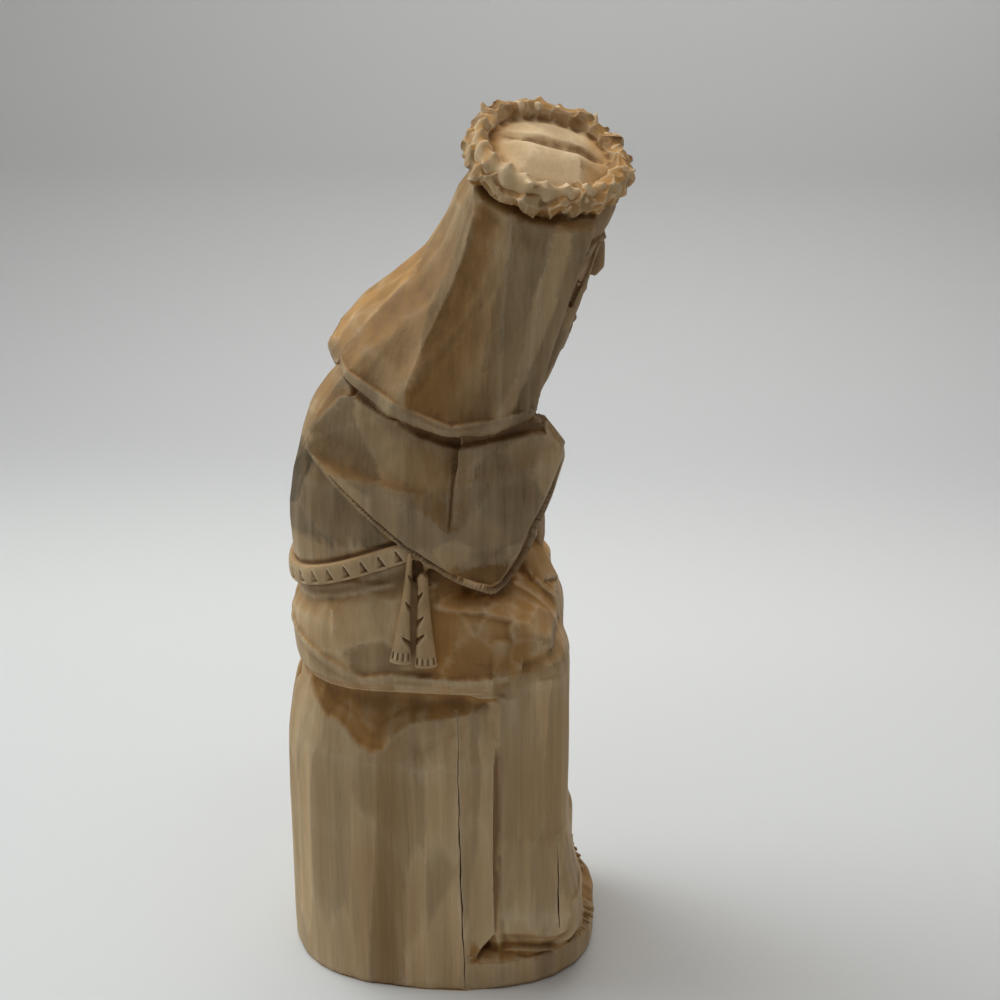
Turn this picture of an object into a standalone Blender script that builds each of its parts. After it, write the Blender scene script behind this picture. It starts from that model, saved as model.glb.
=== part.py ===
"""A seated, pensive robed man with a thorn wreath, carved in one piece with his stump seat and
plinth from a block of limewood.

The figure faces -Y with his right-hand side towards -X, and the ground is Z = 0. Free-form shapes
are written as (forward, right, up) in parts of the figure's height, up being measured from the
plinth's top edge. At the size given here one part is one millimetre.
"""

import math

import bmesh
import bpy
from mathutils import Matrix, Vector

NAME = "seated_figure"

# Driving sizes, in metres
FIGURE_HEIGHT = 0.276
PLINTH_LENGTH = 0.1086
PLINTH_WIDTH = 0.0804
PLINTH_THICKNESS = 0.012
PLINTH_CHAMFER = 0.0012
WREATH_LENGTH = 0.0414
WREATH_WIDTH = 0.0385
WREATH_THICKNESS = 0.0074
WREATH_HEIGHT = 0.0112
WREATH_KNOBS = 22
THORN_LENGTH = 0.0014
THORN_COUNT = 11
BELT_THICKNESS = 0.0056
BELT_TWIST_PITCH = 0.0056
TASSEL_THICKNESS = 0.0026
FINGER_THICKNESS = 0.0036
TOE_WIDTH = 0.0042
HEM_BAND = 0.004
CRACK_WIDTH = 0.0008
CRACK_DEPTH = 0.004

# Shares of the figure's height
PART = FIGURE_HEIGHT / 276
GROUND = -PLINTH_THICKNESS / PART
SEAT_FRONT = 21.0
LEG_BACK = SEAT_FRONT - 7.0
RIGHT_KNEE_FRONT = 44.6
LEFT_KNEE_FRONT = 41.4
RIGHT_HEM_FLARE = 5.2
LEFT_HEM_FLARE = 4.0
BLOCK_MIDDLE = 0.6

# The head leans forward and onto the right hand
HEAD_CENTRE = (29.0, -1.0, 241.5)
HEAD_PITCH = math.radians(15)
HEAD_ROLL = math.radians(24)
WREATH_ABOVE_HEAD_CENTRE = 25.0

LIMEWOOD = (0.62, 0.47, 0.29, 1.0)
LIMEWOOD_ROUGHNESS = 0.62


def place(forward, right, up):
    """A point in metres from its shares of the figure's height."""
    return Vector((-right * PART, (BLOCK_MIDDLE - forward) * PART, PLINTH_THICKNESS + up * PART))


def head_frame():
    """The head's forward, right and up axes as (forward, right, up) shares."""
    forward = Vector((1, 0, 0))
    right = Vector((0, math.cos(HEAD_ROLL), -math.sin(HEAD_ROLL)))
    up = Vector((0, math.sin(HEAD_ROLL), math.cos(HEAD_ROLL)))
    tipped_forward = forward * math.cos(HEAD_PITCH) - up * math.sin(HEAD_PITCH)
    tipped_up = up * math.cos(HEAD_PITCH) + forward * math.sin(HEAD_PITCH)
    return tipped_forward, right, tipped_up


def on_head(forward, right, up):
    """A point given in the leaning head's own frame, as shares in the figure's frame."""
    axis_forward, axis_right, axis_up = head_frame()
    return Vector(HEAD_CENTRE) + axis_forward * forward + axis_right * right + axis_up * up


def signed_power(value, power):
    return math.copysign(abs(value) ** power, value)


def section(centre, axis_a, axis_b, half_a, half_b, squareness, sides, phase=0.0):
    """A superellipse of shares around centre: round at squareness 2, nearly square at 6."""
    points = []
    for index in range(sides):
        angle = 2 * math.pi * (index + phase) / sides
        along_a = half_a * signed_power(math.cos(angle), 2 / squareness)
        along_b = half_b * signed_power(math.sin(angle), 2 / squareness)
        points.append(Vector(centre) + Vector(axis_a) * along_a + Vector(axis_b) * along_b)
    return points


def level(up, back, front, half_width, squareness, sides, middle=0.0, rise=0.0):
    """A level section from back to front; rise lifts its front above its back."""
    half_length = (front - back) / 2
    axis_forward = Vector((1, 0, rise / (2 * half_length)))
    centre = ((front + back) / 2, middle, up)
    return section(centre, axis_forward, (0, 1, 0), half_length, half_width, squareness, sides, 0.5)


def mesh_object(name, points, faces):
    """A closed mesh object with its faces pointing out, and its bent quads split in two."""
    mesh = bpy.data.meshes.new(name)
    mesh.from_pydata(points, [], faces)
    shape = bmesh.new()
    shape.from_mesh(mesh)
    bmesh.ops.recalc_face_normals(shape, faces=shape.faces)
    bmesh.ops.triangulate(shape, faces=[face for face in shape.faces if len(face.verts) == 4])
    shape.to_mesh(mesh)
    shape.free()
    return bpy.data.objects.new(name, mesh)


def loft(name, sections, ring=False):
    """Skins sections of equal point counts, capped at both ends or closed into a ring."""
    sides = len(sections[0])
    points = [place(*point) for outline in sections for point in outline]
    faces = []
    spans = len(sections) if ring else len(sections) - 1
    for row in range(spans):
        start = row * sides
        end = (row + 1) % len(sections) * sides
        for side in range(sides):
            beside = (side + 1) % sides
            faces.append((start + side, start + beside, end + beside, end + side))
    if not ring:
        faces.append(tuple(range(sides)))
        faces.append(tuple(range((len(sections) - 1) * sides, len(sections) * sides)))
    return mesh_object(name, points, faces)


def limb(name, stations, across, sides, squareness=3.0):
    """A profile carried along a path. A station is (centre, half across, half thickness)."""
    centres = [Vector(station[0]) for station in stations]
    outlines = []
    for index, (centre, half_across, half_thickness) in enumerate(stations):
        before = centres[max(index - 1, 0)]
        after = centres[min(index + 1, len(centres) - 1)]
        direction = (after - before).normalized()
        axis_b = direction.cross(Vector(across)).normalized()
        axis_a = axis_b.cross(direction).normalized()
        outlines.append(section(centre, axis_a, axis_b, half_across, half_thickness, squareness, sides, 0.5))
    return loft(name, outlines)


def block_plan(up, inset, front_limit, squareness=2.6, sides=28, back_limit=-1e3, back_inset=0.0):
    """The block's own oval plan at a height, cut off straight at its front or back limit."""
    half_length = PLINTH_LENGTH / 2 / PART - inset - back_inset / 2
    half_width = PLINTH_WIDTH / 2 / PART - inset
    centre = (BLOCK_MIDDLE + back_inset / 2, 0, up)
    points = section(centre, (1, 0, 0), (0, 1, 0), half_length, half_width, squareness, sides, 0.5)
    for point in points:
        point.x = max(min(point.x, front_limit), back_limit)
    return points


def make_stump():
    """The stump that he sits on: the block's plan up to the seat, hollowed under the robe's hem."""
    outlines = [
        block_plan(GROUND, 0.5, 13),
        block_plan(GROUND + 1.5, 0.0, 13),
        block_plan(-3, 0.0, 13),
        block_plan(11, 0.1, SEAT_FRONT, back_inset=0.2),
        block_plan(48, 0.3, SEAT_FRONT, back_inset=0.6),
        block_plan(76, 0.8, SEAT_FRONT, back_inset=1.4),
        block_plan(86, 2.2, SEAT_FRONT, back_inset=1.6),
        block_plan(93, 3.6, SEAT_FRONT, back_inset=1.8),
        block_plan(99, 5.6, SEAT_FRONT, back_inset=2.0),
    ]
    return loft(NAME, outlines)


def make_plinth():
    """The ledge in front of the stump, with a sloping top that the robe and the feet stand on."""
    chamfer = PLINTH_CHAMFER / PART
    outlines = [
        block_plan(GROUND, chamfer, 1e3, back_limit=-20),
        block_plan(GROUND + chamfer, 0.2, 1e3, back_limit=-20),
        block_plan(-0.6, 0.4, 1e3, back_limit=-20),
        block_plan(1.8, 4.5, 1e3, back_limit=-20),
        block_plan(5.0, 13.0, 1e3, back_limit=-20),
    ]
    return loft("plinth", outlines)


def make_leg(name, side, knee_front, flare):
    """The robe hanging from one knee to a hem that flares forward. side is 1 for the right leg."""
    stations = [
        # up, behind the knee's front, share of the flare, middle, half width, squareness
        (1.0, 0.0, 0.3, 21.5, 13.0, 3.0),
        (6.0, 0.0, 0.7, 21.3, 15.2, 3.2),
        (10.4, 0.0, 1.0, 21.3, 17.0, 3.4),
        (20.0, 0.0, 1.0, 21.0, 17.2, 3.4),
        (33.0, 0.0, 0.42, 20.7, 17.2, 3.2),
        (50.0, 0.0, 0.0, 20.4, 17.2, 3.0),
        (90.0, 0.2, 0.0, 20.0, 17.6, 2.9),
        (106.0, 0.2, 0.0, 19.6, 17.8, 2.9),
        (112.0, 1.4, 0.0, 19.6, 17.2, 2.9),
        (117.5, 3.8, 0.0, 19.6, 15.6, 2.9),
        (122.0, 8.0, 0.0, 19.6, 12.6, 2.9),
    ]
    outlines = [
        level(up, LEG_BACK, knee_front - behind + flare * share, half_width, squareness, 16, side * middle)
        for up, behind, share, middle, half_width, squareness in stations
    ]
    return loft(name, outlines)


def make_thigh(name, side, knee_front):
    """One thigh under the robe, running forward to the knee."""
    stations = [
        # forward, bottom, top, inner, outer
        (-30, 104, 133, 2, 36.5),
        (-2, 103, 136.0, 2, 39.0),
        (18, 103, 136.6, 2, 39.6),
        (knee_front - 17.6, 107.0, 134.0, 3, 39.2),
        (knee_front - 10.6, 112, 129.0, 5, 37.6),
        (knee_front - 5.1, 116.5, 122.6, 9, 34.0),
    ]
    outlines = [
        section(
            (forward, side * (inner + outer) / 2, (bottom + top) / 2),
            (0, 1, 0),
            (0, 0, 1),
            (outer - inner) / 2,
            (top - bottom) / 2,
            3.2,
            16,
            0.5,
        )
        for forward, bottom, top, inner, outer in stations
    ]
    return loft(name, outlines)


def make_lap_fold():
    """The robe slung between the knees, with one deep fold down to the plinth."""
    outlines = [
        level(3, 9, 36, 15, 2.6, 12),
        level(16, 9, 36, 14, 2.6, 12),
        level(34, 9, 37, 9, 2.6, 12),
        level(80, 9, 35, 9, 2.6, 12),
        level(108, 12, 36, 8, 2.6, 12),
        level(122, 4, 33, 7, 2.6, 12),
        level(128, 0, 22, 5, 2.6, 12),
    ]
    return loft("lap_fold", outlines)


def make_skirt():
    """The robe over the hips, with a turned-in hem band over the stump."""
    band = HEM_BAND / PART
    hem = 101.6
    outlines = [
        level(hem - 4.5, -41.5, 20, 33.0, 2.7, 28),
        level(hem, -44.6, 24, 37.4, 2.7, 28),
        level(hem + band, -47.0, 27, 40.3, 2.7, 28),
        level(hem + band + 7, -47.8, 28, 39.8, 2.7, 28),
        level(hem + band + 15, -48.0, 28, 38.6, 2.7, 28),
        level(127, -47.8, 24, 37.6, 2.7, 28, rise=8),
        level(133, -45.6, 22, 36.2, 2.7, 28, rise=14),
        level(139, -42.6, 20, 33.5, 2.7, 28, rise=14),
    ]
    return loft("skirt", outlines)


def make_thigh_hem(name, side):
    """The hem band beside one thigh. It carries on the skirt's band and runs out up the leg."""
    band = HEM_BAND / PART
    stations = (
        (-10.0, 101.6, 40.2),
        (8.0, 101.4, 40.3),
        (20.6, 101.2, 40.2),
        (30.0, 109.0, 38.4),
    )
    outlines = []
    for forward, bottom, outer in stations:
        corners = [
            (20.0, bottom - 4.5),
            (outer - 6.4, bottom - 4.5),
            (outer - 2.4, bottom),
            (outer, bottom + band),
            (outer, bottom + band + 3.0),
            (outer - 1.6, 118.0),
            (20.0, 118.0),
        ]
        outlines.append([Vector((forward, side * right, up)) for right, up in corners])
    return loft(name, outlines)


def make_torso():
    """The bowed upper body, its robe bulging a little over the belt."""
    outlines = [
        level(122, -43.0, 20, 32.0, 2.7, 24),
        level(139, -44.8, 20, 33.2, 2.7, 24, rise=14),
        level(144, -47.4, 20, 35.2, 2.7, 24, rise=14),
        level(156, -47.0, 19, 34.6, 2.7, 24, rise=8),
        level(168, -45.2, 19, 33.6, 2.7, 24),
        level(179, -42.4, 19, 28.6, 2.6, 24),
        level(189, -38.2, 20, 25.6, 2.5, 24),
        level(198, -31.0, 21, 23.0, 2.4, 24),
        level(208, -12.0, 26, 18.0, 2.4, 24),
        level(226, 10.0, 34, 10.0, 2.2, 24, -1),
    ]
    return loft("torso", outlines)


def make_upper_arm(name, side):
    """A wide sleeve from the shoulder down to the elbow."""
    stations = [
        ((-29.4, side * 14.0, 185.6), 5.0, 6.0),
        ((-27.6, side * 18.2, 185.2), 9.6, 12.6),
        ((-19, side * 21.8, 180.0), 12.5, 16.2),
        ((-6, side * 25.4, 170.4), 12.6, 17.2),
        ((6, side * 27.0, 160.5), 12.4, 15.8),
        ((14, side * 27.4, 152.0), 11.8, 12.2),
        ((19, side * 27.4, 144.5), 8.6, 7.0),
    ]
    return limb(name, stations, (0, 1, 0), 14, 4.2)


def make_right_sleeve():
    """The right sleeve, bent at the elbow: one flat side with a sharp lower edge, from the shoulder
    down to the elbow on the knee and up to a wide slanting cuff under the chin. Its other sections
    repeat that outline further in, and a little lower."""
    corners = [
        # forward, up, right
        (-38.4, 178.6, 25.0),
        (-31.2, 172.8, 31.6),
        (-16.0, 159.2, 36.8),
        (-7.0, 151.2, 38.6),
        (5.0, 143.6, 39.6),
        (14.0, 139.4, 39.6),
        (21.0, 137.6, 38.8),
        (24.8, 139.8, 37.6),
        (30.3, 150.0, 36.4),
        (36.0, 163.3, 34.8),
        (42.0, 180.6, 31.6),
        (41.4, 184.8, 30.4),
        (34.6, 193.4, 30.0),
        (18.0, 199.0, 32.0),
        (-8.0, 203.0, 30.0),
        (-27.0, 196.0, 24.0),
        (-36.0, 186.0, 22.4),
    ]
    middle = Vector((2.0, 169.0, 38.4))
    outlines = []
    for inset, sink in ((0.0, 17.0), (0.0, 8.0), (0.0, 1.6), (0.035, 0.0), (0.5, -0.4), (0.94, 0.0)):
        outline = []
        for forward, up, right in corners:
            point = Vector((forward, up, right)).lerp(middle, inset)
            outline.append(Vector((point.x, point.z - sink, point.y - 0.4 * sink)))
        outlines.append(outline)
    return loft("right_sleeve", outlines)


def make_elbow_valley():
    """The wedge between upper arm and forearm, whose two planes meet in the sleeve's crease."""
    keel_top = Vector((10.0, 30.6, 194.0))
    keel_bottom = Vector((8.0, 41.0, 156.0))
    outlines = [
        [keel_top, Vector((-22.0, 43.0, 200.0)), Vector((14.0, 43.0, 198.0))],
        [keel_bottom, Vector((7.0, 43.0, 154.6)), Vector((9.0, 43.0, 154.6))],
    ]
    return loft("elbow_valley", outlines)


def make_left_forearm():
    """The left sleeve lying across the lap, with its cuff towards the right knee."""
    stations = [
        ((12, -28.0, 148), 12.0, 11.0),
        ((18, -22.0, 146), 12.6, 11.6),
        ((22, -12.0, 143.5), 12.0, 11.0),
        ((24.4, -2.0, 141.6), 10.6, 10.0),
        ((25.0, 3.4, 140.6), 8.6, 8.0),
    ]
    return limb("left_forearm", stations, (1, 0, 0), 14, 3.4)


def make_chest_fill():
    """The robe's front between the arms and the lap."""
    outlines = [
        level(118, -10, 26, 24, 2.6, 14),
        level(140, -10, 24, 26, 2.6, 14),
        level(170, -10, 22, 24, 2.6, 14),
        level(192, -10, 22, 20, 2.6, 14),
    ]
    return loft("chest_fill", outlines)


def hair_outline(up, back, front, half_width, dip, rise, lean):
    """One faceted section of the hair; its sides hang dip below its back, and it leans right."""
    corners = [
        # share of the length from the middle, share of the half width
        (-1.0, 0.3),
        (-0.8, 0.68),
        (-0.36, 0.93),
        (0.16, 1.0),
        (0.66, 0.98),
        (1.0, 0.86),
    ]
    middle = (back + front) / 2
    half_length = (front - back) / 2
    outline = []
    for side in (1, -1):
        for length_share, width_share in corners[::side]:
            forward = middle + half_length * length_share
            right = lean + side * half_width * width_share
            height = up - dip * width_share**3 + rise * (length_share + 1) / 2
            height -= (right - lean) * math.tan(HEAD_ROLL) * max(0.0, min(1.0, (up - 205) / 45))
            outline.append(Vector((forward, right, height)))
    return outline


def make_hair():
    """The long hair, falling as one mass from the wreath to a cut edge on the shoulders."""
    stations = [
        # up, back, front, half width, dip, rise, lean
        (200, -22.0, 25.0, 31.0, 13.0, -3.0, 0.0),
        (204.4, -31.2, 32.4, 39.4, 15.7, -3.1, 0.0),
        (208.6, -31.4, 33.6, 39.6, 15.4, -3.0, 0.0),
        (217, -23.4, 36.0, 37.0, 11.0, -2.0, 0.6),
        (224, -13.0, 38.0, 34.8, 8.0, -1.0, 1.6),
        (232, -3.4, 40.6, 32.0, 5.0, -1.0, 3.0),
        (242, 3.4, 43.6, 28.6, 2.6, -1.0, 5.0),
        (253, 8.4, 47.0, 25.0, 0.6, -3.0, 7.0),
        (260.6, 12.3, 49.4, 20.4, 0.0, -6.2, 8.8),
    ]
    return loft("hair", [hair_outline(*station) for station in stations])


def make_face_hollow():
    """The opening between the front locks, which frames the face and shows the chest."""
    outlines = [
        section((54, 0, 172), (1, 0, 0), (0, 1, 0), 29, 17, 3.0, 14, 0.5),
        section((56, 0, 200), (1, 0, 0), (0, 1, 0), 29, 17.6, 3.0, 14, 0.5),
        section((58, 2, 226), (1, 0, 0), (0, 1, -0.4), 27, 18, 3.0, 14, 0.5),
        section((60, 6, 246), (1, 0, 0), (0, 1, -0.4), 24, 16.5, 3.0, 14, 0.5),
        section((66, 8, 256), (1, 0, 0), (0, 1, -0.4), 20, 12.0, 3.0, 14, 0.5),
    ]
    return loft("face_hollow", outlines)


def head_level(up, back, front, half_width, squareness=2.3, sides=20):
    """A section across the leaning head."""
    axis_forward, axis_right, _ = head_frame()
    centre = on_head((back + front) / 2, 0, up)
    half_length = (front - back) / 2
    return section(centre, axis_forward, axis_right, half_length, half_width, squareness, sides, 0.5)


def make_head():
    """Skull, brow, cheeks and jaw, in plain proportions."""
    outlines = [
        head_level(-29, -6, 17.0, 7.0),
        head_level(-25, -12, 19.8, 10.5),
        head_level(-16, -16, 20.4, 13.8),
        head_level(-6, -18, 20.6, 15.4),
        head_level(3, -19, 19.4, 16.0),
        head_level(9, -19.4, 22.0, 16.2),
        head_level(15, -19.4, 22.4, 16.4),
        head_level(20, -20.6, 21.6, 18.2),
        head_level(24.4, -19.8, 20.0, 17.4),
        head_level(27.2, -15.0, 15.4, 12.4),
        head_level(28.8, -8.0, 8.0, 6.0),
    ]
    return loft("head", outlines)


def make_nose():
    """A straight, plain nose."""
    stations = [
        (on_head(18.8, 0, 4), 1.9, 1.4),
        (on_head(21.2, 0, -1), 2.0, 2.4),
        (on_head(22.8, 0, -8.4), 2.9, 2.8),
        (on_head(22.0, 0, -11.4), 2.6, 2.2),
    ]
    return limb("nose", stations, head_frame()[1], 8, 2.6)


def make_brow(name, side):
    """One brow ridge."""
    stations = [
        (on_head(19.8, side * 1.0, 5.0), 1.6, 1.4),
        (on_head(20.2, side * 6.0, 6.4), 1.6, 1.9),
        (on_head(16.0, side * 12.0, 4.4), 1.4, 1.7),
    ]
    return limb(name, stations, head_frame()[2], 6, 2.2)


def make_eye(name, side):
    """One lowered eyelid."""
    stations = [
        (on_head(17.8, side * 3.2, 0.6), 0.9, 1.0),
        (on_head(18.4, side * 5.4, 0.8), 2.1, 1.7),
        (on_head(17.6, side * 8.0, 0.6), 2.1, 1.7),
        (on_head(15.8, side * 10.2, 0.2), 0.9, 1.0),
    ]
    return limb(name, stations, head_frame()[2], 6, 2.2)


def make_eye_socket(name, side):
    """The hollow that is cut under one brow."""
    centre = on_head(21.8, side * 6.6, 1.0)
    axis_forward, axis_right, axis_up = head_frame()
    outlines = [
        section(centre - axis_right * 5.0, axis_forward, axis_up, 1.0, 1.2, 2, 8),
        section(centre - axis_right * 2.5, axis_forward, axis_up, 3.4, 3.4, 2, 8),
        section(centre + axis_right * 1.5, axis_forward, axis_up, 4.0, 3.8, 2, 8),
        section(centre + axis_right * 5.0 - axis_forward * 1.5, axis_forward, axis_up, 2.8, 2.4, 2, 8),
    ]
    return loft(name, outlines)


def make_beard():
    """A short beard in one pointed mass, and a parted moustache over it."""
    axis_forward, axis_right, _ = head_frame()
    stations = [
        # up, forward, half length, half width
        (-12, 13.0, 8.0, 9.0),
        (-16.5, 13.6, 8.4, 11.0),
        (-23, 13.4, 8.2, 10.4),
        (-30.5, 13.6, 6.6, 7.4),
        (-37, 14.0, 3.4, 3.4),
    ]
    outlines = [
        section(on_head(forward, 0.3, up), axis_forward, axis_right, half_length, half_width, 2.3, 12, 0.5)
        for up, forward, half_length, half_width in stations
    ]
    return loft("beard", outlines)


def make_moustache(name, side):
    stations = [
        (on_head(20.6, side * 0.9, -13.4), 1.5, 1.4),
        (on_head(20.6, side * 4.2, -15.0), 1.8, 1.6),
        (on_head(18.8, side * 8.0, -19.4), 1.2, 1.2),
    ]
    return limb(name, stations, head_frame()[2], 6, 2.2)


def wreath_point(angle, outward, up):
    """A point by the wreath: angle 0 is over the brow, outward is measured from its middle line."""
    length = WREATH_LENGTH / 2 / PART + outward
    width = WREATH_WIDTH / 2 / PART + outward
    height = WREATH_ABOVE_HEAD_CENTRE + up
    return on_head(length * math.cos(angle) - 0.5, width * math.sin(angle), height)


def make_wreath():
    """The wreath: a ring that is notched into chunky knobs, leaning now up, now down."""
    half_thickness = WREATH_THICKNESS / 2 / PART
    half_height = WREATH_HEIGHT / 2 / PART
    steps = WREATH_KNOBS * 2
    sides = 8
    outlines = []
    for step in range(steps):
        knob = step % 2
        swell = (0.76, 1.16)[knob]
        twist = (0.0, 0.3, 0.0, -0.3)[step % 4]
        outline = []
        for side in range(sides):
            turn = 2 * math.pi * (side + 0.5) / sides
            angle = 2 * math.pi * (step + 0.35 * math.sin(turn)) / steps
            outward = half_thickness * swell * math.cos(turn + twist)
            up = half_height * swell * math.sin(turn + twist)
            outline.append(wreath_point(angle, outward, up))
        outlines.append(outline)
    return loft("wreath", outlines, ring=True)


def make_thorn(index):
    """One stubby thorn on every second knob, pointing out and now up, now down."""
    angle = 2 * math.pi * (index + 0.25) / THORN_COUNT
    slope = (0.8, 0.3, -0.5)[index % 3]
    reach = THORN_LENGTH / PART
    half_thickness = WREATH_THICKNESS / 2 / PART
    swing = 0.06 * (-1) ** index
    root = wreath_point(angle, 0.0, slope * 3.4)
    tip = wreath_point(angle + swing, half_thickness * 0.9 + reach, slope * 6.4)
    across = Vector((-math.sin(angle), math.cos(angle), 0))
    stations = [(root, 2.9, 2.9), (root.lerp(tip, 0.62), 2.2, 2.0), (tip, 0.9, 0.8)]
    return limb(f"thorn_{index + 1}", stations, across, 5, 2.0)


def belt_height(forward):
    """The belt's height: it rises from the back to the front."""
    return 134.2 + 0.37 * (forward + 47)


def make_belt():
    """A twisted rope round the waist; every second section shrinks into a slanting notch."""
    half_length, half_width, middle = 33.6, 34.4, -12.4
    radius = BELT_THICKNESS / 2 / PART
    around = math.pi * (half_length + half_width)
    turns = round(around * PART / BELT_TWIST_PITCH)
    steps = 2 * turns
    sides = 6
    outlines = []
    for step in range(steps):
        swell = (1.08, 0.74)[step % 2]
        outline = []
        for side in range(sides):
            turn = 2 * math.pi * side / sides
            slant = 0.5 * math.sin(turn) * 2 * math.pi / steps
            angle = 2 * math.pi * step / steps + slant
            outward = radius * swell * math.cos(turn)
            forward = middle + (half_length + outward) * signed_power(math.cos(angle), 0.72)
            right = (half_width + outward) * signed_power(math.sin(angle), 0.72)
            outline.append(Vector((forward, right, belt_height(forward) + radius * swell * math.sin(turn))))
        outlines.append(outline)
    return loft("rope_belt", outlines, ring=True)


def make_tassel(name, top, bottom, spread):
    """One knotted end of the belt, lying on the skirt and widening into a cut fringe."""
    thickness = TASSEL_THICKNESS / PART
    stations = []
    for share, half_width in ((0.0, 1.3), (0.3, 1.8), (0.55, 2.1), (0.8, 2.7), (1.0, spread)):
        centre = Vector(top).lerp(Vector(bottom), share)
        centre.y += 0.5 * math.sin(math.pi * share)
        stations.append((centre, half_width, thickness / 2 + 0.7))
    return limb(name, stations, (1, 0, 0), 6, 3.0)


def make_finger(name, points, thickness):
    """A finger through its joints, a little thinner at the tip."""
    stations = []
    for index, point in enumerate(points):
        taper = 1 - 0.28 * index / (len(points) - 1)
        stations.append((point, thickness / 2 * taper, thickness / 2 * taper))
    stations.append((Vector(points[-1]) * 1.35 - Vector(points[-2]) * 0.35, thickness * 0.2, thickness * 0.2))
    return limb(name, stations, (0, 1, 0.2), 5, 2.2)


def make_right_hand():
    """The hand along the cheek: wrist and palm from the cuff, and fingers up to the temple."""
    palm = limb(
        "right_palm",
        [
            ((28.0, 23.0, 184), 4.4, 5.0),
            ((28.8, 20.6, 196), 4.0, 5.2),
            ((32.6, 16.6, 206), 3.6, 6.0),
            ((36.4, 14.2, 216), 3.0, 6.4),
            ((39.4, 13.4, 222), 2.2, 6.0),
        ],
        (0, 1, 0),
        10,
    )
    thickness = FINGER_THICKNESS / PART
    fingers = []
    for index in range(4):
        behind = 3.3 * index
        reach = (0.0, 2.6, 0.6, -4.0)[index]
        points = [
            Vector((42.6 - behind, 13.6, 219.0 + 1.2 * index)),
            Vector((45.8 - behind, 13.8, 227.0 + 1.2 * index)),
            Vector((49.2 - behind, 16.6, 238.6 + 1.0 * index + reach)),
        ]
        fingers.append(make_finger(f"right_finger_{index + 1}", points, thickness))
    thumb_points = [Vector((39.0, 15, 209)), Vector((41.6, 9, 213)), Vector((42.4, 3.0, 214.5))]
    fingers.append(make_finger("right_thumb", thumb_points, thickness * 1.1))
    return [palm, *fingers]


def make_left_hand():
    """The hand on the right knee, its fingers hanging over the front."""
    palm = limb(
        "left_palm",
        [
            ((24.0, -3.0, 139.6), 5.4, 4.6),
            ((29.6, 3.0, 135.6), 6.6, 4.0),
            ((35.0, 8.2, 128.0), 7.6, 3.0),
        ],
        (0.3, -1, 0),
        10,
    )
    thickness = FINGER_THICKNESS * 1.1 / PART
    fingers = []
    for index in range(4):
        right = 2.6 + index * 3.7
        drop = (12.5, 15.0, 14.0, 10.0)[index]
        points = [
            Vector((31.6, right - 0.6, 131.0)),
            Vector((37.6, right, 126.0)),
            Vector((40.2, right + 0.6, 125.0 - drop)),
        ]
        fingers.append(make_finger(f"left_finger_{index + 1}", points, thickness))
    thumb_points = [Vector((31, -4, 133)), Vector((35.6, -4.4, 128)), Vector((38.2, -4.2, 120))]
    fingers.append(make_finger("left_thumb", thumb_points, thickness * 1.1))
    return [palm, *fingers]


def make_foot(name, side, hem_front):
    """The bare front of one foot, standing out from the hem."""
    stations = [
        ((hem_front - 9, side * 19, 9.0), 8.6, 5.0),
        ((hem_front - 4, side * 19, 7.6), 8.6, 4.2),
        ((hem_front - 0.8, side * 19, 5.8), 8.2, 3.0),
    ]
    return limb(name, stations, (0, 1, 0), 10, 2.6)


def make_toes(name, side, hem_front):
    """Five toes, the big one on the inner side."""
    width = TOE_WIDTH / PART
    toes = []
    for index in range(5):
        thickness = width * (1.2 if index == 0 else 0.95 - 0.05 * index)
        right = side * (11.6 + 3.7 * index)
        tip = hem_front + 2.8 - 0.35 * index**1.5
        points = [Vector((hem_front - 2.8, right, 6.2)), Vector((tip, right, 3.4))]
        toes.append(make_finger(f"{name}_{index + 1}", points, thickness))
    return toes


def make_crack():
    """The wedge-shaped drying crack down the stump's right side."""
    half_gap = CRACK_WIDTH / 2 / PART
    outer = PLINTH_WIDTH / 2 / PART + 3
    inner = PLINTH_WIDTH / 2 / PART - CRACK_DEPTH / PART
    outlines = []
    for up, forward in ((GROUND - 2, 11.2), (20, 10.2), (60, 9.6), (90, 9.4), (108, 8.6)):
        reach = min(inner, 36.4)
        outlines.append(
            [
                Vector((forward - half_gap, outer, up)),
                Vector((forward + half_gap, outer, up)),
                Vector((forward + half_gap * 0.3, reach, up)),
                Vector((forward - half_gap * 0.3, reach, up)),
            ]
        )
    return loft("drying_crack", outlines)


def make_parting():
    """The groove along the top of the head where the hair parts."""
    stations = [
        (on_head(-17, 0, 29.4), 1.3, 1.6),
        (on_head(-8, -1.5, 30.2), 1.5, 2.6),
        (on_head(4, -2.0, 30.2), 1.5, 2.6),
        (on_head(15, -1.0, 28.6), 1.3, 2.2),
    ]
    return limb("parting", stations, head_frame()[1], 6, 2.2)


def limewood():
    material = bpy.data.materials.new("limewood")
    material.use_nodes = True
    shader = material.node_tree.nodes["Principled BSDF"]
    shader.inputs["Base Color"].default_value = LIMEWOOD
    shader.inputs["Roughness"].default_value = LIMEWOOD_ROUGHNESS
    shader.inputs["Metallic"].default_value = 0.0
    return material


def hidden_collection(name, members):
    """A collection of guide shapes, which don't render."""
    collection = bpy.data.collections.new(name)
    bpy.context.scene.collection.children.link(collection)
    for member in members:
        collection.objects.link(member)
        member.hide_render = True
        member.display_type = "WIRE"
    return collection


def combine(target, name, operands, operation):
    """Adds or cuts all the operands, which stay as hidden guides, in one Boolean modifier."""
    modifier = target.modifiers.new(name, "BOOLEAN")
    modifier.operation = operation
    modifier.solver = "EXACT"
    modifier.operand_type = "COLLECTION"
    modifier.collection = hidden_collection(name, operands)


def remove_everything():
    for item in list(bpy.data.objects):
        bpy.data.objects.remove(item, do_unlink=True)


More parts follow.
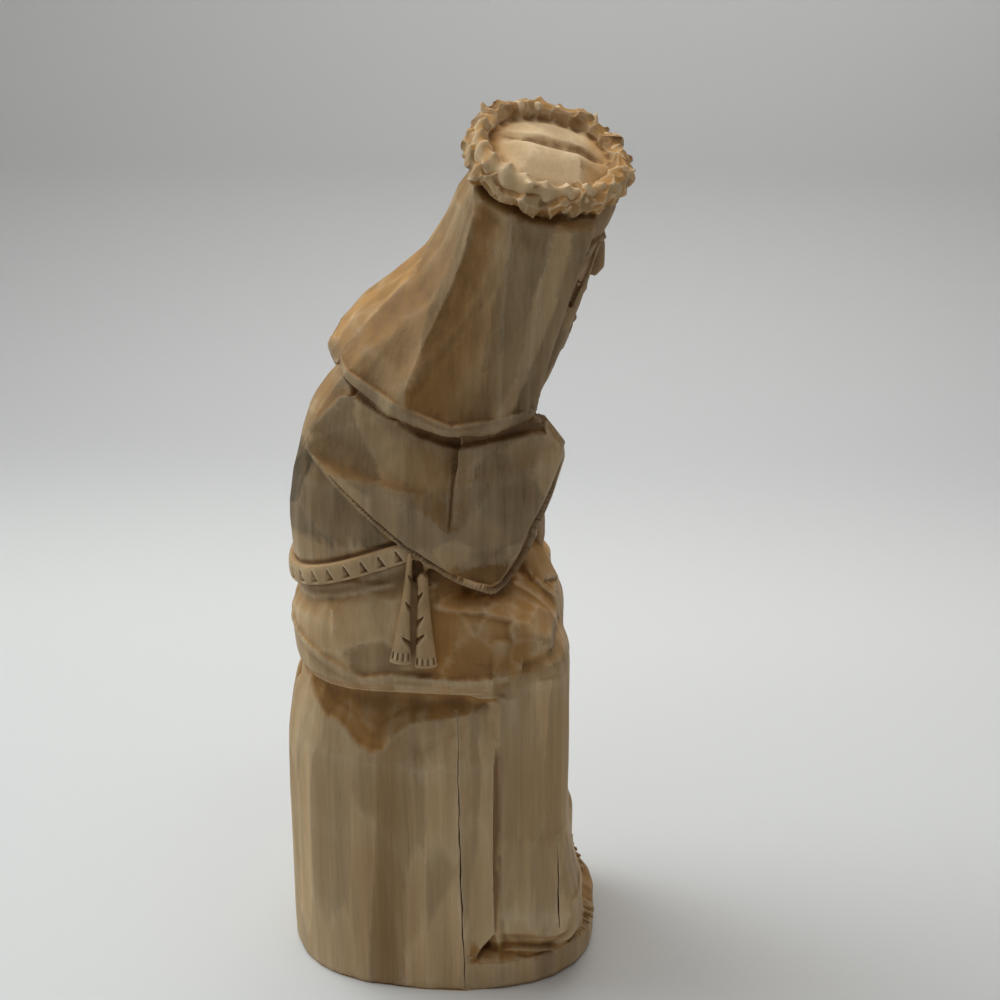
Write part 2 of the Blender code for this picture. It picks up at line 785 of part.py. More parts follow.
def make_face_details():
    return [
        make_nose(),
        make_brow("right_brow", 1),
        make_brow("left_brow", -1),
        make_eye("right_eye", 1),
        make_eye("left_eye", -1),
        make_beard(),
        make_moustache("right_moustache", 1),
        make_moustache("left_moustache", -1),
    ]


def make_robe():
    return [
        make_skirt(),
        make_thigh("right_thigh", 1, RIGHT_KNEE_FRONT),
        make_thigh("left_thigh", -1, LEFT_KNEE_FRONT),
        make_thigh_hem("right_thigh_hem", 1),
        make_thigh_hem("left_thigh_hem", -1),
        make_leg("right_leg", 1, RIGHT_KNEE_FRONT, RIGHT_HEM_FLARE),
        make_leg("left_leg", -1, LEFT_KNEE_FRONT, LEFT_HEM_FLARE),
        make_lap_fold(),
        make_torso(),
        make_chest_fill(),
        make_right_sleeve(),
        make_upper_arm("left_upper_arm", -1),
        make_left_forearm(),
    ]


def make_rope():
    return [
        make_belt(),
        make_tassel("back_tassel", (-3.6, 35.4, 149), (-7.2, 39.4, 115.6), 3.5),
        make_tassel("front_tassel", (-0.4, 35.8, 148), (0.8, 39.8, 114.6), 3.3),
    ]


def make_feet():
    right_hem = RIGHT_KNEE_FRONT + RIGHT_HEM_FLARE
    left_hem = LEFT_KNEE_FRONT + LEFT_HEM_FLARE
    return [
        make_foot("right_foot", 1, right_hem),
        make_foot("left_foot", -1, left_hem),
        *make_toes("right_toe", 1, right_hem),
        *make_toes("left_toe", -1, left_hem),
    ]


def main():
    remove_everything()
    hair = make_hair()
    combine(hair, "face_opening", [make_face_hollow()], "DIFFERENCE")
    head = make_head()
    head_cuts = [
        make_eye_socket("eye_socket_right", 1),
        make_eye_socket("eye_socket_left", -1),
        make_parting(),
    ]
    combine(head, "head_cuts", head_cuts, "DIFFERENCE")
    robe = make_robe()
    sleeve = next(form for form in robe if form.name == "right_sleeve")
    combine(sleeve, "elbow", [make_elbow_valley()], "DIFFERENCE")
    forms = [
        make_plinth(),
        *robe,
        *make_rope(),
        hair,
        head,
        *make_face_details(),
        make_wreath(),
        *[make_thorn(index) for index in range(THORN_COUNT)],
        *make_right_hand(),
        *make_left_hand(),
        *make_feet(),
    ]
    figure = make_stump()
    combine(figure, "carved_forms", forms, "UNION")
    combine(figure, "cracks", [make_crack()], "DIFFERENCE")
    figure.data.materials.append(limewood())
    statue = bpy.data.collections.new(NAME)
    bpy.context.scene.collection.children.link(statue)
    statue.objects.link(figure)


main()
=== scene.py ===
"""The looks of a carved limewood statue: a seated, pensive robed man in a thorn wreath.

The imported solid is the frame. This script lays the carver's gouge cuts over it, carves the wreath,
the rope belt and its tassels as fine meshes, opens the drying cracks and gives the wood its grain.
Shapes are worked out in shares of the figure's height, as (forward, right, up) arrays with up
measured from the plinth's top edge. At the real size one share is one millimetre.
"""

import itertools
import math

import bmesh
import bpy
import numpy as np
from bpy.props import FloatProperty, FloatVectorProperty, IntProperty, PointerProperty
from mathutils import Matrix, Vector


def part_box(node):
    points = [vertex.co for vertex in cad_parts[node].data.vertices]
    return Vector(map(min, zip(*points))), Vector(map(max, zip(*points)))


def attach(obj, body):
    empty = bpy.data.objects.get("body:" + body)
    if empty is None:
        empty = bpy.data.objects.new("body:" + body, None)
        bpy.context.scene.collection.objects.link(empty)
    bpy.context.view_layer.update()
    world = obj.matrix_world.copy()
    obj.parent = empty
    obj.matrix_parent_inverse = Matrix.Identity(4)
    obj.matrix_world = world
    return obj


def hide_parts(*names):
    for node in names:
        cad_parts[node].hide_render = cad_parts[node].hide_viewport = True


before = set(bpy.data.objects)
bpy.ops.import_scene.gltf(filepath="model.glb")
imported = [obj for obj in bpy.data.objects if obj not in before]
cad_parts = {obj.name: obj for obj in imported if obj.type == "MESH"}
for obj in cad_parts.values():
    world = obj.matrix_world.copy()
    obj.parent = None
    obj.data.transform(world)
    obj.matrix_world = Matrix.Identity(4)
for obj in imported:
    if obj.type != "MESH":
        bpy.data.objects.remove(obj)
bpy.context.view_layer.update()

bl_info = {
    "name": "Carved Limewood Figure",
    "version": (1, 0, 0),
    "blender": (4, 5, 0),
    "location": "View3D > Sidebar > Carving",
    "description": "Gouge cuts, thorn wreath, rope, cracks and wood for a seated limewood figure",
    "category": "Object",
}

NODE = "seated_figure"
BODY = "root"
CAD_LOW, CAD_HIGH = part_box(NODE)

# Shares of the figure's height, as the frame was built with them
WHOLE_HEIGHT = 290.8
SHARE = (CAD_HIGH.z - CAD_LOW.z) / WHOLE_HEIGHT
PLINTH = 12.0
BLOCK_MIDDLE = 0.6
HEAD_CENTRE = np.array([29.0, -1.0, 241.5])
HEAD_PITCH = math.radians(15)
HEAD_ROLL = math.radians(24)
WREATH_HALF_LENGTH = 20.7
WREATH_HALF_WIDTH = 19.25
WREATH_UP = 25.0
WREATH_BACK = 0.5
BELT_HALF_LENGTH = 33.6
BELT_HALF_WIDTH = 34.4
BELT_MIDDLE = -12.4
SEAT_FRONT = 21.0

# The long drying crack's middle as (up, forward). Then, as heights and how far right the wood
# reaches at them, the wall that the new crack is cut into and the one that fills the frame's own
CRACK_LINE = ((108.0, 8.6), (90.0, 9.4), (60.0, 9.6), (20.0, 10.2), (-14.0, 11.2))
CRACK_WALL = (
    (-14.0, 50.0, 76.0, 86.0, 93.0, 99.0, 103.0, 108.0),
    (40.0, 39.8, 39.3, 37.9, 36.7, 36.9, 39.6, 40.0),
)
FILLED_WALL = ((-12, 48, 76, 86, 93, 99, 102), (40.0, 39.8, 39.3, 37.9, 36.5, 36.3, 38))
FRAME_KEEL = 36.2

# Lines of the carving along the figure's side, as (forward, up)
SLEEVE_EDGE = ((-38.4, 178.6), (-31.2, 172.8), (-16.0, 159.2), (-7.0, 151.2), (5.0, 143.6), (21.0, 137.6))
SLEEVE_FACET = (
    (-38.4, 181.0), (-24.0, 168.9), (-8.4, 167.2), (0.0, 163.2), (7.2, 157.4),
    (12.0, 158.9), (18.1, 167.2), (24.0, 172.8), (42.0, 178.0),
)
HAIR_HEM = ((-31.0, 205.0), (-23.0, 199.0), (-6.0, 191.5), (9.0, 186.5), (32.0, 190.5))
SKIRT_FACET = ((-48.0, 119.0), (-38.2, 115.1), (-19.9, 108.4), (-8.6, 110.3), (10.3, 108.8), (29.9, 110.5))
COVE_EDGE = (
    (-44.6, 99.4), (-41.0, 98.4), (-37.6, 93.4), (-33.6, 89.2), (-29.6, 88.6), (-26.6, 86.4), (-23.0, 82.2),
    (-18.6, 80.2), (-14.6, 81.0), (-10.6, 86.4), (-6.0, 90.4), (0.0, 91.6), (6.0, 92.4), (12.0, 93.6),
    (16.0, 95.6), (20.0, 99.4),
)
LOWER_SCOOP = ((-13.7, 81.3), (-6.5, 73.7), (1.0, 74.6), (9.1, 80.1), (15.0, 75.4), (21.0, 77.5))

# Up, then the forward places of the hair's ridges and of its front edge at that height
HAIR_RIDGES = (
    (201.0, -29.5, -4.9, 22.9, 30.9, 36.0),
    (212.6, -21.2, -0.5, 23.0, 31.4, 38.3),
    (228.7, -5.0, 7.4, 23.6, 33.2, 41.5),
    (239.7, 1.8, 11.6, 24.6, 35.2, 44.0),
    (250.0, 7.3, 13.8, 25.5, 37.6, 46.0),
)
HAIR_FLUTES = (1.2, 1.3, 0.7, 0.5)

# Shares in a metre at the real size, and up to what height over the underside the rim is kept
METRE = 1000
RIM = 3.0

WREATH_CELL = (4.8, 4.8, 4.8)
WREATH_CUT = 1.7
WREATH_SEED = 29
FIGURE_TRIANGLES = 186000
WREATH_TRIANGLES = 70000

# Each light: its name, place, aim, size, colour and spread in degrees
LIGHTS = (
    ("key", (0.30, 0.80, 0.90), (0.0, 0.0, 0.15), 1.0, (0.86, 0.95, 1.0), 80),
    ("top", (0.10, 0.04, 1.50), (0.0, 0.0, 0.0), 1.7, (1.0, 0.99, 0.97), 180),
    ("wall", (-0.10, -0.40, 1.30), (0.60, -0.10, 0.55), 0.5, (1.0, 0.99, 0.98), 60),
)


def to_shares(points):
    """(forward, right, up) shares of points in metres."""
    forward = BLOCK_MIDDLE - points[:, 1] / SHARE
    return np.column_stack([forward, -points[:, 0] / SHARE, points[:, 2] / SHARE - PLINTH])


def to_metres(shares):
    """Points in metres of (forward, right, up) shares."""
    across = -shares[..., 1] * SHARE
    along = (BLOCK_MIDDLE - shares[..., 0]) * SHARE
    return np.stack([across, along, (shares[..., 2] + PLINTH) * SHARE], axis=-1)


def head_axes():
    """The leaning head's forward, right and up axes, as rows."""
    right = np.array([0.0, math.cos(HEAD_ROLL), -math.sin(HEAD_ROLL)])
    up = np.array([0.0, math.sin(HEAD_ROLL), math.cos(HEAD_ROLL)])
    forward = np.array([1.0, 0.0, 0.0])
    tipped_forward = forward * math.cos(HEAD_PITCH) - up * math.sin(HEAD_PITCH)
    tipped_up = up * math.cos(HEAD_PITCH) + forward * math.sin(HEAD_PITCH)
    return np.stack([tipped_forward, right, tipped_up])


def in_head(shares):
    """Shares in the head's own frame: along its forward, right and up axes."""
    return (shares - HEAD_CENTRE) @ head_axes().T


def from_head(local):
    """Shares in the figure's frame of points in the head's own frame."""
    return local @ head_axes() + HEAD_CENTRE


def signed_power(values, power):
    """|v| to a power, with v's own sign."""
    return np.sign(values) * np.abs(values) ** power


def smooth_step(values, low, high):
    """0 below low, 1 above high, and 3t^2 - 2t^3 between them."""
    t = np.clip((values - low) / (high - low), 0.0, 1.0)
    return t * t * (3.0 - 2.0 * t)


def turns(count):
    """Evenly spaced angles once round, from 0."""
    return np.linspace(0, 2 * math.pi, count, endpoint=False)


def soft_band(values, low, full, fading, gone):
    """0 below low and above gone, and 1 from full to fading."""
    return smooth_step(values, low, full) * (1.0 - smooth_step(values, fading, gone))


def scatter(corners, seed):
    """Seven repeatable random numbers from 0 to 1 for each whole-number corner: the fractions of
    a large multiple of the sine of its weighted sum."""
    weighted = corners @ np.array([12.9898, 78.233, 37.719]) + seed * 4.1414
    first = np.modf(np.abs(np.sin(weighted)) * 43758.5453)[0]
    numbers = [first]
    for step in range(6):
        numbers.append(np.modf(numbers[-1] * (157.31 + 31.7 * step) + 0.137)[0])
    return np.stack(numbers, axis=-1)


def gouge_cuts(shares, cell, axes=None, seed=0, bowl=0.85, tilt=0.75):
    """Hand-cut facets: round one jittered seed in every cell stands a shallow bowl, tilted a
    little its own way, and the surface is the lowest of them all. Returns that height, from 0 in
    the cuts to 1 on the ridges, and one random tone for the cut each point lies in."""
    local = shares if axes is None else shares @ np.asarray(axes, float).T
    local = local / np.asarray(cell, float)
    corner = np.floor(local)
    height = np.full(len(local), np.inf)
    tone = np.zeros(len(local))
    for offset in itertools.product((-1, 0, 1), repeat=3):
        neighbour = corner + offset
        random = scatter(neighbour, seed)
        seat = neighbour + 0.12 + 0.76 * random[:, :3]
        away = local - seat
        lean = (away * (random[:, 3:6] - 0.5)).sum(axis=1)
        here = bowl * (away * away).sum(axis=1) + 2 * tilt * lean + 0.35 * random[:, 6]
        closer = here < height
        height = np.where(closer, here, height)
        tone = np.where(closer, random[:, 4], tone)
    return np.clip((height + 0.15) / 1.1, 0.0, 1.0), tone


def mesh_from(name, points, faces):
    """A mesh of points in metres and an array of faces, all with the same number of corners."""
    corners = faces.shape[1]
    mesh = bpy.data.meshes.new(name)
    mesh.vertices.add(len(points))
    mesh.vertices.foreach_set("co", np.ascontiguousarray(points, np.float32).ravel())
    mesh.loops.add(faces.size)
    mesh.loops.foreach_set("vertex_index", np.ascontiguousarray(faces, np.int32).ravel())
    mesh.polygons.add(len(faces))
    mesh.polygons.foreach_set("loop_start", np.arange(0, faces.size, corners, dtype=np.int32))
    mesh.update(calc_edges=True)
    mesh.validate()
    return mesh


def tube_faces(rows, sides, ring):
    """Quads that skin rows of points, each row a loop of sides. A ring joins its last row to its
    first one."""
    spans = rows if ring else rows - 1
    row, side = np.meshgrid(np.arange(spans), np.arange(sides), indexing="ij")
    below = row * sides
    above = (row + 1) % rows * sides
    beside = (side + 1) % sides
    quads = np.stack([below + side, below + beside, above + beside, above + side], axis=-1)
    return quads.reshape(-1, 4)


def tube_mesh(name, grid, ring=False):
    """A closed tube from a (rows, sides, 3) grid in shares. Open ends close on their middles."""
    rows, sides = grid.shape[:2]
    faces = tube_faces(rows, sides, ring)
    points = grid.reshape(-1, 3)
    if ring:
        return mesh_from(name, to_metres(points), faces)
    ends = np.stack([grid[0].mean(axis=0), grid[-1].mean(axis=0)])
    side = np.arange(sides)
    beside = (side + 1) % sides
    first = np.full(sides, rows * sides)
    last = (rows - 1) * sides
    start_cap = np.stack([beside, side, first, first], axis=-1)[:, :3]
    end_cap = np.stack([last + side, last + beside, first + 1], axis=-1)
    mesh = bpy.data.meshes.new(name)
    polygons = [tuple(face) for part in (faces, start_cap, end_cap) for face in part.tolist()]
    mesh.from_pydata(to_metres(np.vstack([points, ends])).tolist(), [], polygons)
    return mesh


def outward(mesh):
    """Turns every face of a closed mesh outwards."""
    shape = bmesh.new()
    shape.from_mesh(mesh)
    bmesh.ops.recalc_face_normals(shape, faces=shape.faces)
    shape.to_mesh(mesh)
    shape.free()
    return mesh


def new_object(name, mesh):
    piece = bpy.data.objects.new(name, mesh)
    bpy.context.scene.collection.objects.link(piece)
    return piece


def settled(name, mesh, kind, **settings):
    """The mesh after one modifier with the given settings."""
    helper = new_object(name, mesh)
    modifier = helper.modifiers.new(kind.title(), kind)
    for setting, value in settings.items():
        setattr(modifier, setting, value)
    graph = bpy.context.evaluated_depsgraph_get()
    result = bpy.data.meshes.new_from_object(helper.evaluated_get(graph))
    bpy.data.objects.remove(helper)
    return result


def rows_of(collection, key, width, kind=np.float32):
    """One value of every item in a mesh's collection, as rows of a given width."""
    values = np.empty(len(collection) * width, kind)
    collection.foreach_get(key, values)
    return values.reshape(-1, width)


def points_of(mesh):
    return rows_of(mesh.vertices, "co", 3).astype(float)


def edges_of(mesh):
    return rows_of(mesh.edges, "vertices", 2, np.int32)


def normals_of(mesh):
    return rows_of(mesh.vertex_normals, "vector", 3).astype(float)


def set_points(mesh, points):
    mesh.vertices.foreach_set("co", np.ascontiguousarray(points, np.float32).ravel())
    mesh.update()


def neighbour_mean(values, edges):
    """Each vertex's mean of its neighbours' values."""
    count = len(values)
    start, end = edges[:, 0], edges[:, 1]
    degree = np.bincount(start, minlength=count) + np.bincount(end, minlength=count)
    total = np.empty_like(values)
    for axis in range(values.shape[1]):
        column = values[:, axis]
        total[:, axis] = np.bincount(start, weights=column[end], minlength=count)
        total[:, axis] += np.bincount(end, weights=column[start], minlength=count)
    return total / np.maximum(degree, 1)[:, None]


def relaxed(values, edges, rounds, share=0.6):
    """Values moved towards their neighbours' mean a number of times. share may be an array."""
    for _ in range(rounds):
        values = values + (neighbour_mean(values, edges) - values) * share
    return values


def unit(vectors):
    return vectors / np.maximum(np.linalg.norm(vectors, axis=1, keepdims=True), 1e-9)


def belt_height(forward):
    """The belt's height: it rises from the back to the front."""
    return 134.2 + 0.37 * (forward + 47.0)


def belt_line(steps):
    """The belt's middle line, evenly spaced: a squared ellipse round the waist."""
    angle = np.linspace(0.0, 2 * math.pi, 2401)[:-1]
    forward = BELT_MIDDLE + BELT_HALF_LENGTH * signed_power(np.cos(angle), 0.72)
    right = BELT_HALF_WIDTH * signed_power(np.sin(angle), 0.72)
    line = np.column_stack([forward, right, belt_height(forward)])
    closed = np.vstack([line, line[:1]])
    travelled = np.concatenate([[0.0], np.cumsum(np.linalg.norm(np.diff(closed, axis=0), axis=1))])
    wanted = np.linspace(0.0, travelled[-1], steps, endpoint=False)
    even = np.column_stack([np.interp(wanted, travelled, closed[:, axis]) for axis in range(3)])
    return even, wanted, travelled[-1]


def nearest_on(line, shares):
    """Each point's nearest sample of a line, and its distance."""
    gaps = np.linalg.norm(shares[:, None, :] - line[None, :, :], axis=2)
    nearest = gaps.argmin(axis=1)
    return line[nearest], gaps[np.arange(len(shares)), nearest]


def on_wreath(angle, up):
    """Points of the wreath's middle line in the head's own frame: an ellipse round the head."""
    return np.column_stack([
        WREATH_HALF_LENGTH * np.cos(angle) - WREATH_BACK,
        WREATH_HALF_WIDTH * np.sin(angle),
        up,
    ])


def wreath_line(steps):
    """The wreath's middle line, evenly stepped in angle, without its drop."""
    return from_head(on_wreath(turns(steps), np.full(steps, WREATH_UP)))


def line_at(forward, line):
    """The height of a line of the carving at the given forward places."""
    return np.interp(forward, [place[0] for place in line], [place[1] for place in line])


def gap_to_line(forward, up, line):
    """Each point's distance from a line of the carving, seen from the side."""
    share = np.linspace(0, len(line) - 1, 16 * len(line))
    samples = np.column_stack([np.interp(share, np.arange(len(line)), axis) for axis in np.transpose(line)])
    return nearest_on(samples, np.column_stack([forward, up]))[1]


def skirt_side(up):
    """How far the robe reaches to the side beside the tassels."""
    return np.interp(up, [113, 120, 127, 133, 139, 145, 150], [40.1, 38.8, 37.7, 36.4, 34.8, 35.2, 35.0])


def drawn_in(shares, line, pull, near, far):
    """Points nearer to a line than near drawn towards it by a share of their way, fading to far."""
    middle, gap = nearest_on(line, shares)
    pull = pull * (1.0 - smooth_step(gap, near, far))
    return shares + (middle - shares) * pull[:, None]


def prepared_solid():
    """A copy of the frame's solid with its doubles merged. The wreath, belt and tassels, which
    have pieces of their own, are drawn in a little, and the crack, which is cut anew, is filled."""
    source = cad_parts[NODE].data.copy()
    shape = bmesh.new()
    shape.from_mesh(source)
    bmesh.ops.remove_doubles(shape, verts=shape.verts, dist=1e-6)
    shape.to_mesh(source)
    shape.free()
    shares = to_shares(points_of(source))
    shares = drawn_in(shares, wreath_line(240), pull=0.14, near=6.4, far=8.0)
    shares = drawn_in(shares, belt_line(480)[0], pull=0.45, near=3.4, far=4.2)

    # The patch under the tassels, below the sleeve's edge, reaches no further than the skirt
    on_tassels = (np.abs(shares[:, 0] + 2.5) < 9.5) & (np.abs(shares[:, 2] - 131) < 19)
    on_tassels &= shares[:, 2] < line_at(shares[:, 0], SLEEVE_EDGE) - 1.5
    side = skirt_side(shares[:, 2]) - 0.3
    shares[:, 1] = np.where(on_tassels & (shares[:, 1] > side), side, shares[:, 1])

    # The frame's own crack is a thin wedge whose keel lies well inside the wood
    crack_forward = np.interp(-shares[:, 2], [-up for up, _ in CRACK_LINE], [f for _, f in CRACK_LINE])
    in_crack = np.abs(shares[:, 0] - crack_forward) < 0.35
    in_crack &= np.abs(shares[:, 1] - FRAME_KEEL) < 0.15
    wall = np.interp(shares[:, 2], *FILLED_WALL)
    shares[:, 1] = np.where(in_crack, np.maximum(wall, shares[:, 1]), shares[:, 1])
    set_points(source, to_metres(shares))
    return source


def soften(mesh, rounds):
    """Rounds off the frame's even facets and keeps its real edges: where the surface turns faster
    than a shallow facet does, the relaxing is weak. It is weak on the face, the sleeve and the hems
    too, and never less than 0.45 just under the sleeve's edge."""
    points, edges = points_of(mesh), edges_of(mesh)
    normals = normals_of(mesh)
    broad = unit(relaxed(normals, edges, rounds=8))
    turn = 1.0 - (normals * broad).sum(axis=1)
    turn = relaxed(turn[:, None], edges, rounds=3)[:, 0]
    share = 0.6 * (1.0 - 0.97 * smooth_step(turn, 0.004, 0.02))
    shares = to_shares(points)
    forward, right, up = shares.T
    head = in_head(shares)
    face = smooth_step(head[:, 0], 4.0, 9.0) * (np.abs(head[:, 1]) < 16) * (head[:, 2] < 20)
    share *= 1.0 - 0.8 * face
    sleeve = on_sleeve(shares)
    share *= 1.0 - 0.7 * sleeve
    hems = (np.abs(up - 104.5) < 5.5) & (forward < 16)
    hems |= (np.abs(up - line_at(forward, HAIR_HEM) - 2) < 5) & (up > 180)
    share *= 1.0 - 0.8 * hems
    below_edge = line_at(forward, SLEEVE_EDGE) - up
    under_sleeve = (below_edge > 0.2) & (below_edge < 3.2) & (right > 24) & (forward > -38) & (forward < 23)
    share = np.maximum(share, 0.45 * under_sleeve)
    set_points(mesh, relaxed(points, edges, rounds, share[:, None]))


def on_sleeve(shares):
    """True on the flat outside of the right sleeve."""
    forward, right, up = shares.T
    inside = (up > line_at(forward, SLEEVE_EDGE) - 0.4) & (up < line_at(forward, HAIR_HEM) + 1)
    return inside & (right > 21) & (forward > -38.5) & (up > 137)


def sleeve_cuts(shares):
    """How far the sleeve is cut in: a line down the elbow's crease, a bevel along the lower edge,
    and the facet below the crease, which turns down a little."""
    forward, _, up = shares.T
    inside = on_sleeve(shares)
    crease = np.interp(up, [156.0, 188.0], [7.7, 9.8])
    line = np.clip(1.0 - np.abs(forward - crease) / 0.8, 0.0, 1.0) * smooth_step(up, 156.5, 161.0)
    hollow = np.where(forward < crease, (crease - forward) / 13.0, (forward - crease) / 6.0)
    hollow = np.clip(1.0 - hollow, 0.0, 1.0) * smooth_step(up, 157.0, 168.0)
    hollow = hollow * (1.0 - smooth_step(up, 174.0, 186.0))
    below = np.clip(line_at(forward, SLEEVE_FACET) - up, 0.0, 20.0)
    return inside * (0.6 * line + 0.7 * hollow + 0.1 * below)


def cove_edge(shares):
    """The lower edge of the scoops under the robe's hem: drawn along the sides, rippling behind."""
    forward, right, _ = shares.T
    behind = 90.0 + 6.0 * np.abs(np.sin(0.24 * right + 0.5))
    return np.where(forward < COVE_EDGE[0][0], behind, line_at(forward, COVE_EDGE))


def stump_cuts(shares):
    """How far the scoops under the hem and the wide one below them are cut in."""
    forward, right, up = shares.T
    depth = np.zeros(len(shares))
    near = np.flatnonzero((up < 102) & (up > 66) & (forward < SEAT_FRONT + 0.5))
    forward, right, up = forward[near], right[near], up[near]
    above = up - cove_edge(shares[near])
    gap = np.where(forward < COVE_EDGE[0][0], above, gap_to_line(forward, up, COVE_EDGE))
    scoops = (above > 0) * np.clip(gap / 5.0, 0.0, 1.0)
    below = (up > line_at(forward, LOWER_SCOOP)) & (forward > LOWER_SCOOP[0][0])
    lower = below * np.clip(gap_to_line(forward, up, LOWER_SCOOP) / 7.0, 0.0, 1.0)
    lower = lower * smooth_step(forward, -13.5, -4.0)
    depth[near] = (1.1 * scoops + 0.5 * lower) * (1.0 - smooth_step(forward, 10.0, 18.0))
    return depth


def hem_cuts(shares, normals):
    """How far the bevels over the skirt's hem and round the foot of the robe's legs are cut in."""
    forward, _, up = shares.T
    side_on = smooth_step(1.0 - np.abs(normals[:, 2]), 0.2, 0.5)
    skirt = np.clip(line_at(forward, SKIRT_FACET) - up, 0.0, 3.6) * smooth_step(up, 100.0, 102.0)
    skirt = skirt * (1.0 - smooth_step(forward, 20.0, 29.0))
    legs = np.clip(18.0 - up, 0.0, 10.0) * smooth_step(forward, SEAT_FRONT + 0.5, SEAT_FRONT + 3)
    legs = legs * smooth_step(up, 2.0, 3.5) * (1.0 - on_feet(shares))
    return side_on * (0.26 * skirt + 0.16 * legs)


def on_feet(shares):
    """1 on the bare feet and their toes, and 0 a little away from them."""
    forward, right, up = shares.T
    ahead = smooth_step(forward, 39.0, 41.5) * (1.0 - smooth_step(up, 20.0, 26.0))
    return ahead * smooth_step(np.abs(right), 3.0, 5.0) * (1.0 - smooth_step(np.abs(right), 33.0, 35.0))


def hair_place(shares):
    """Where a point lies among the hair's ridges: a whole number on each of them."""
    forward, _, up = shares.T
    heights = [row[0] for row in HAIR_RIDGES]
    ridges = [np.interp(up, heights, [row[place] for row in HAIR_RIDGES]) for place in range(1, 6)]
    place = np.full(len(shares), -1.0)
    for number, (back, front) in enumerate(zip(ridges, ridges[1:])):
        inside = (forward >= back) & (forward < front)
        place = np.where(inside, number + (forward - back) / (front - back), place)
    return place


def hair_cuts(shares):
    """How far the long shallow flutes between the hair's ridges and the bevel along the hair's
    hem are cut in."""
    place = hair_place(shares)
    number = np.clip(np.floor(place), 0, 3).astype(int)
    depth = np.asarray(HAIR_FLUTES)[number] * np.sin(math.pi * (place - number)) ** 0.8
    above_hem = shares[:, 2] - line_at(shares[:, 0], HAIR_HEM)
    bevel = np.clip(5.0 - above_hem, 0.0, 5.0) * smooth_step(above_hem, -4.0, -2.2)
    bevel = bevel * smooth_step(shares[:, 1], 12.0, 17.0)
    head = in_head(shares)
    below_wreath = 1.0 - smooth_step(head[:, 2], 14.0, 20.0)
    flutes = depth * smooth_step(above_hem, 4.4, 5.8) * below_wreath
    return np.where(place >= 0, flutes + 0.28 * bevel, 0.0)


def belt_groove(shares, normals):
    """How far the robe is cut in just above and just below the belt."""
    above = shares[:, 2] - belt_height(shares[:, 0])
    lines = 0.5 * np.exp(-(((above - 3.9) / 0.9) ** 2)) + 0.6 * np.exp(-(((above + 4.0) / 0.8) ** 2))
    side_on = smooth_step(1.0 - np.abs(normals[:, 2]), 0.3, 0.6)
    clear = (shares[:, 0] < np.where(shares[:, 1] > 0, -3, 12)) & ~on_sleeve(shares)
    return 1.3 * lines * side_on * clear


def parting_groove(shares):
    """How far the parting is cut into the top of the head: a V that fades at both ends."""
    head = in_head(shares)
    middle = -1.4 + 0.05 * head[:, 0]
    valley = np.clip(1.0 - np.abs(head[:, 1] - middle) / 2.6, 0.0, 1.0)
    length = smooth_step(17.0 - np.abs(head[:, 0] + 0.5), 0.0, 6.0)
    return 1.1 * valley * length * (head[:, 2] > 22)


def gouge_zones(shares, normals, settings):
    """The zones of tool work. Each is (weight, cell, axes, depth, seed)."""
    forward, right, up = shares.T
    facing_up = np.abs(normals[:, 2])
    head = in_head(shares)
    upright = 1.0 - smooth_step(facing_up, 0.45, 0.75)
    stump = (up < 100.5) & (forward < SEAT_FRONT + 1.5)
    stump |= (up < 6) & (facing_up < 0.5)
    legs = ~stump & (up < 122) & (forward > SEAT_FRONT) & (up > 4)
    toes = on_feet(shares) > 0.5
    plinth_top = ~stump & (up < 14) & (forward > SEAT_FRONT - 3) & ~(legs & (facing_up < 0.4)) & ~toes
    skirt = ~stump & ~legs & (up < 141 + 0.3 * forward) & (up > line_at(forward, SKIRT_FACET))
    lap = (skirt | legs) & (up > 108) & ((facing_up > 0.4) | (forward > 26)) & (forward > -6)
    crown = (head[:, 2] > 21) & (up > 225)
    hair = ~crown & (up > line_at(forward, HAIR_HEM)) & (head[:, 0] < 22)
    face = (head[:, 0] > 6) & (np.abs(head[:, 1]) < 17) & (head[:, 2] < 21) & (head[:, 2] > -40)
    face &= (forward > 38) & (up > 200)
    hands = (forward > 26) & (up > 108) & (up < 150) & (np.abs(right) < 22)
    hands |= (forward > 30) & (up > 182) & (np.abs(right) < 28) & ~hair
    hair &= ~face
    robe = (up > 138) & ~(skirt | crown | hair | face | hands)
    width = settings.flute_width * METRE
    long_axes = ((1, 0, 0), (0, 1, 0), (0, 0, 1))
    hair_axes = ((0.94, 0, -0.34), (0, 1, 0), (0.34, 0, 0.94))
    cove = smooth_step(up - cove_edge(shares), -1.0, 1.0) * stump
    return [
        (stump * upright * (1 - cove), (width, width, 6.4 * width), long_axes, 1.0, 3),
        (cove, (12, 12, 17), long_axes, 1.5, 11),
        (legs * upright * ~(lap | hands | toes), (width, width, 7 * width), long_axes, 0.7, 5),
        (plinth_top * 1.0, (9, 9, 9), long_axes, 0.7, 7),
        (skirt * ~(lap | hands), (17, 17, 15), long_axes, 1.7, 9),
        (lap * ~hands * 1.0, (9, 9, 9), long_axes, 0.9, 13),
        (robe * 1.0, (17, 17, 19), long_axes, 1.3, 15),
        (hair * 1.0, (12, 12, 60), hair_axes, 0.6, 17),
        (crown * 1.0, (11, 11, 11), long_axes, 0.9, 19),
    ]


def beard_strands(shares):
    """How far the fine grooves between the beard's locks are cut in."""
    head = in_head(shares)
    zone = smooth_step(-head[:, 2], 15.0, 18.0) * (head[:, 0] > 6) * (np.abs(head[:, 1]) < 13)
    zone = zone * (shares[:, 0] > 36)
    wave = head[:, 1] * 2.4 + 0.9 * np.sin(head[:, 2] * 0.35)
    return 0.35 * zone * np.abs(np.sin(wave)) ** 0.7


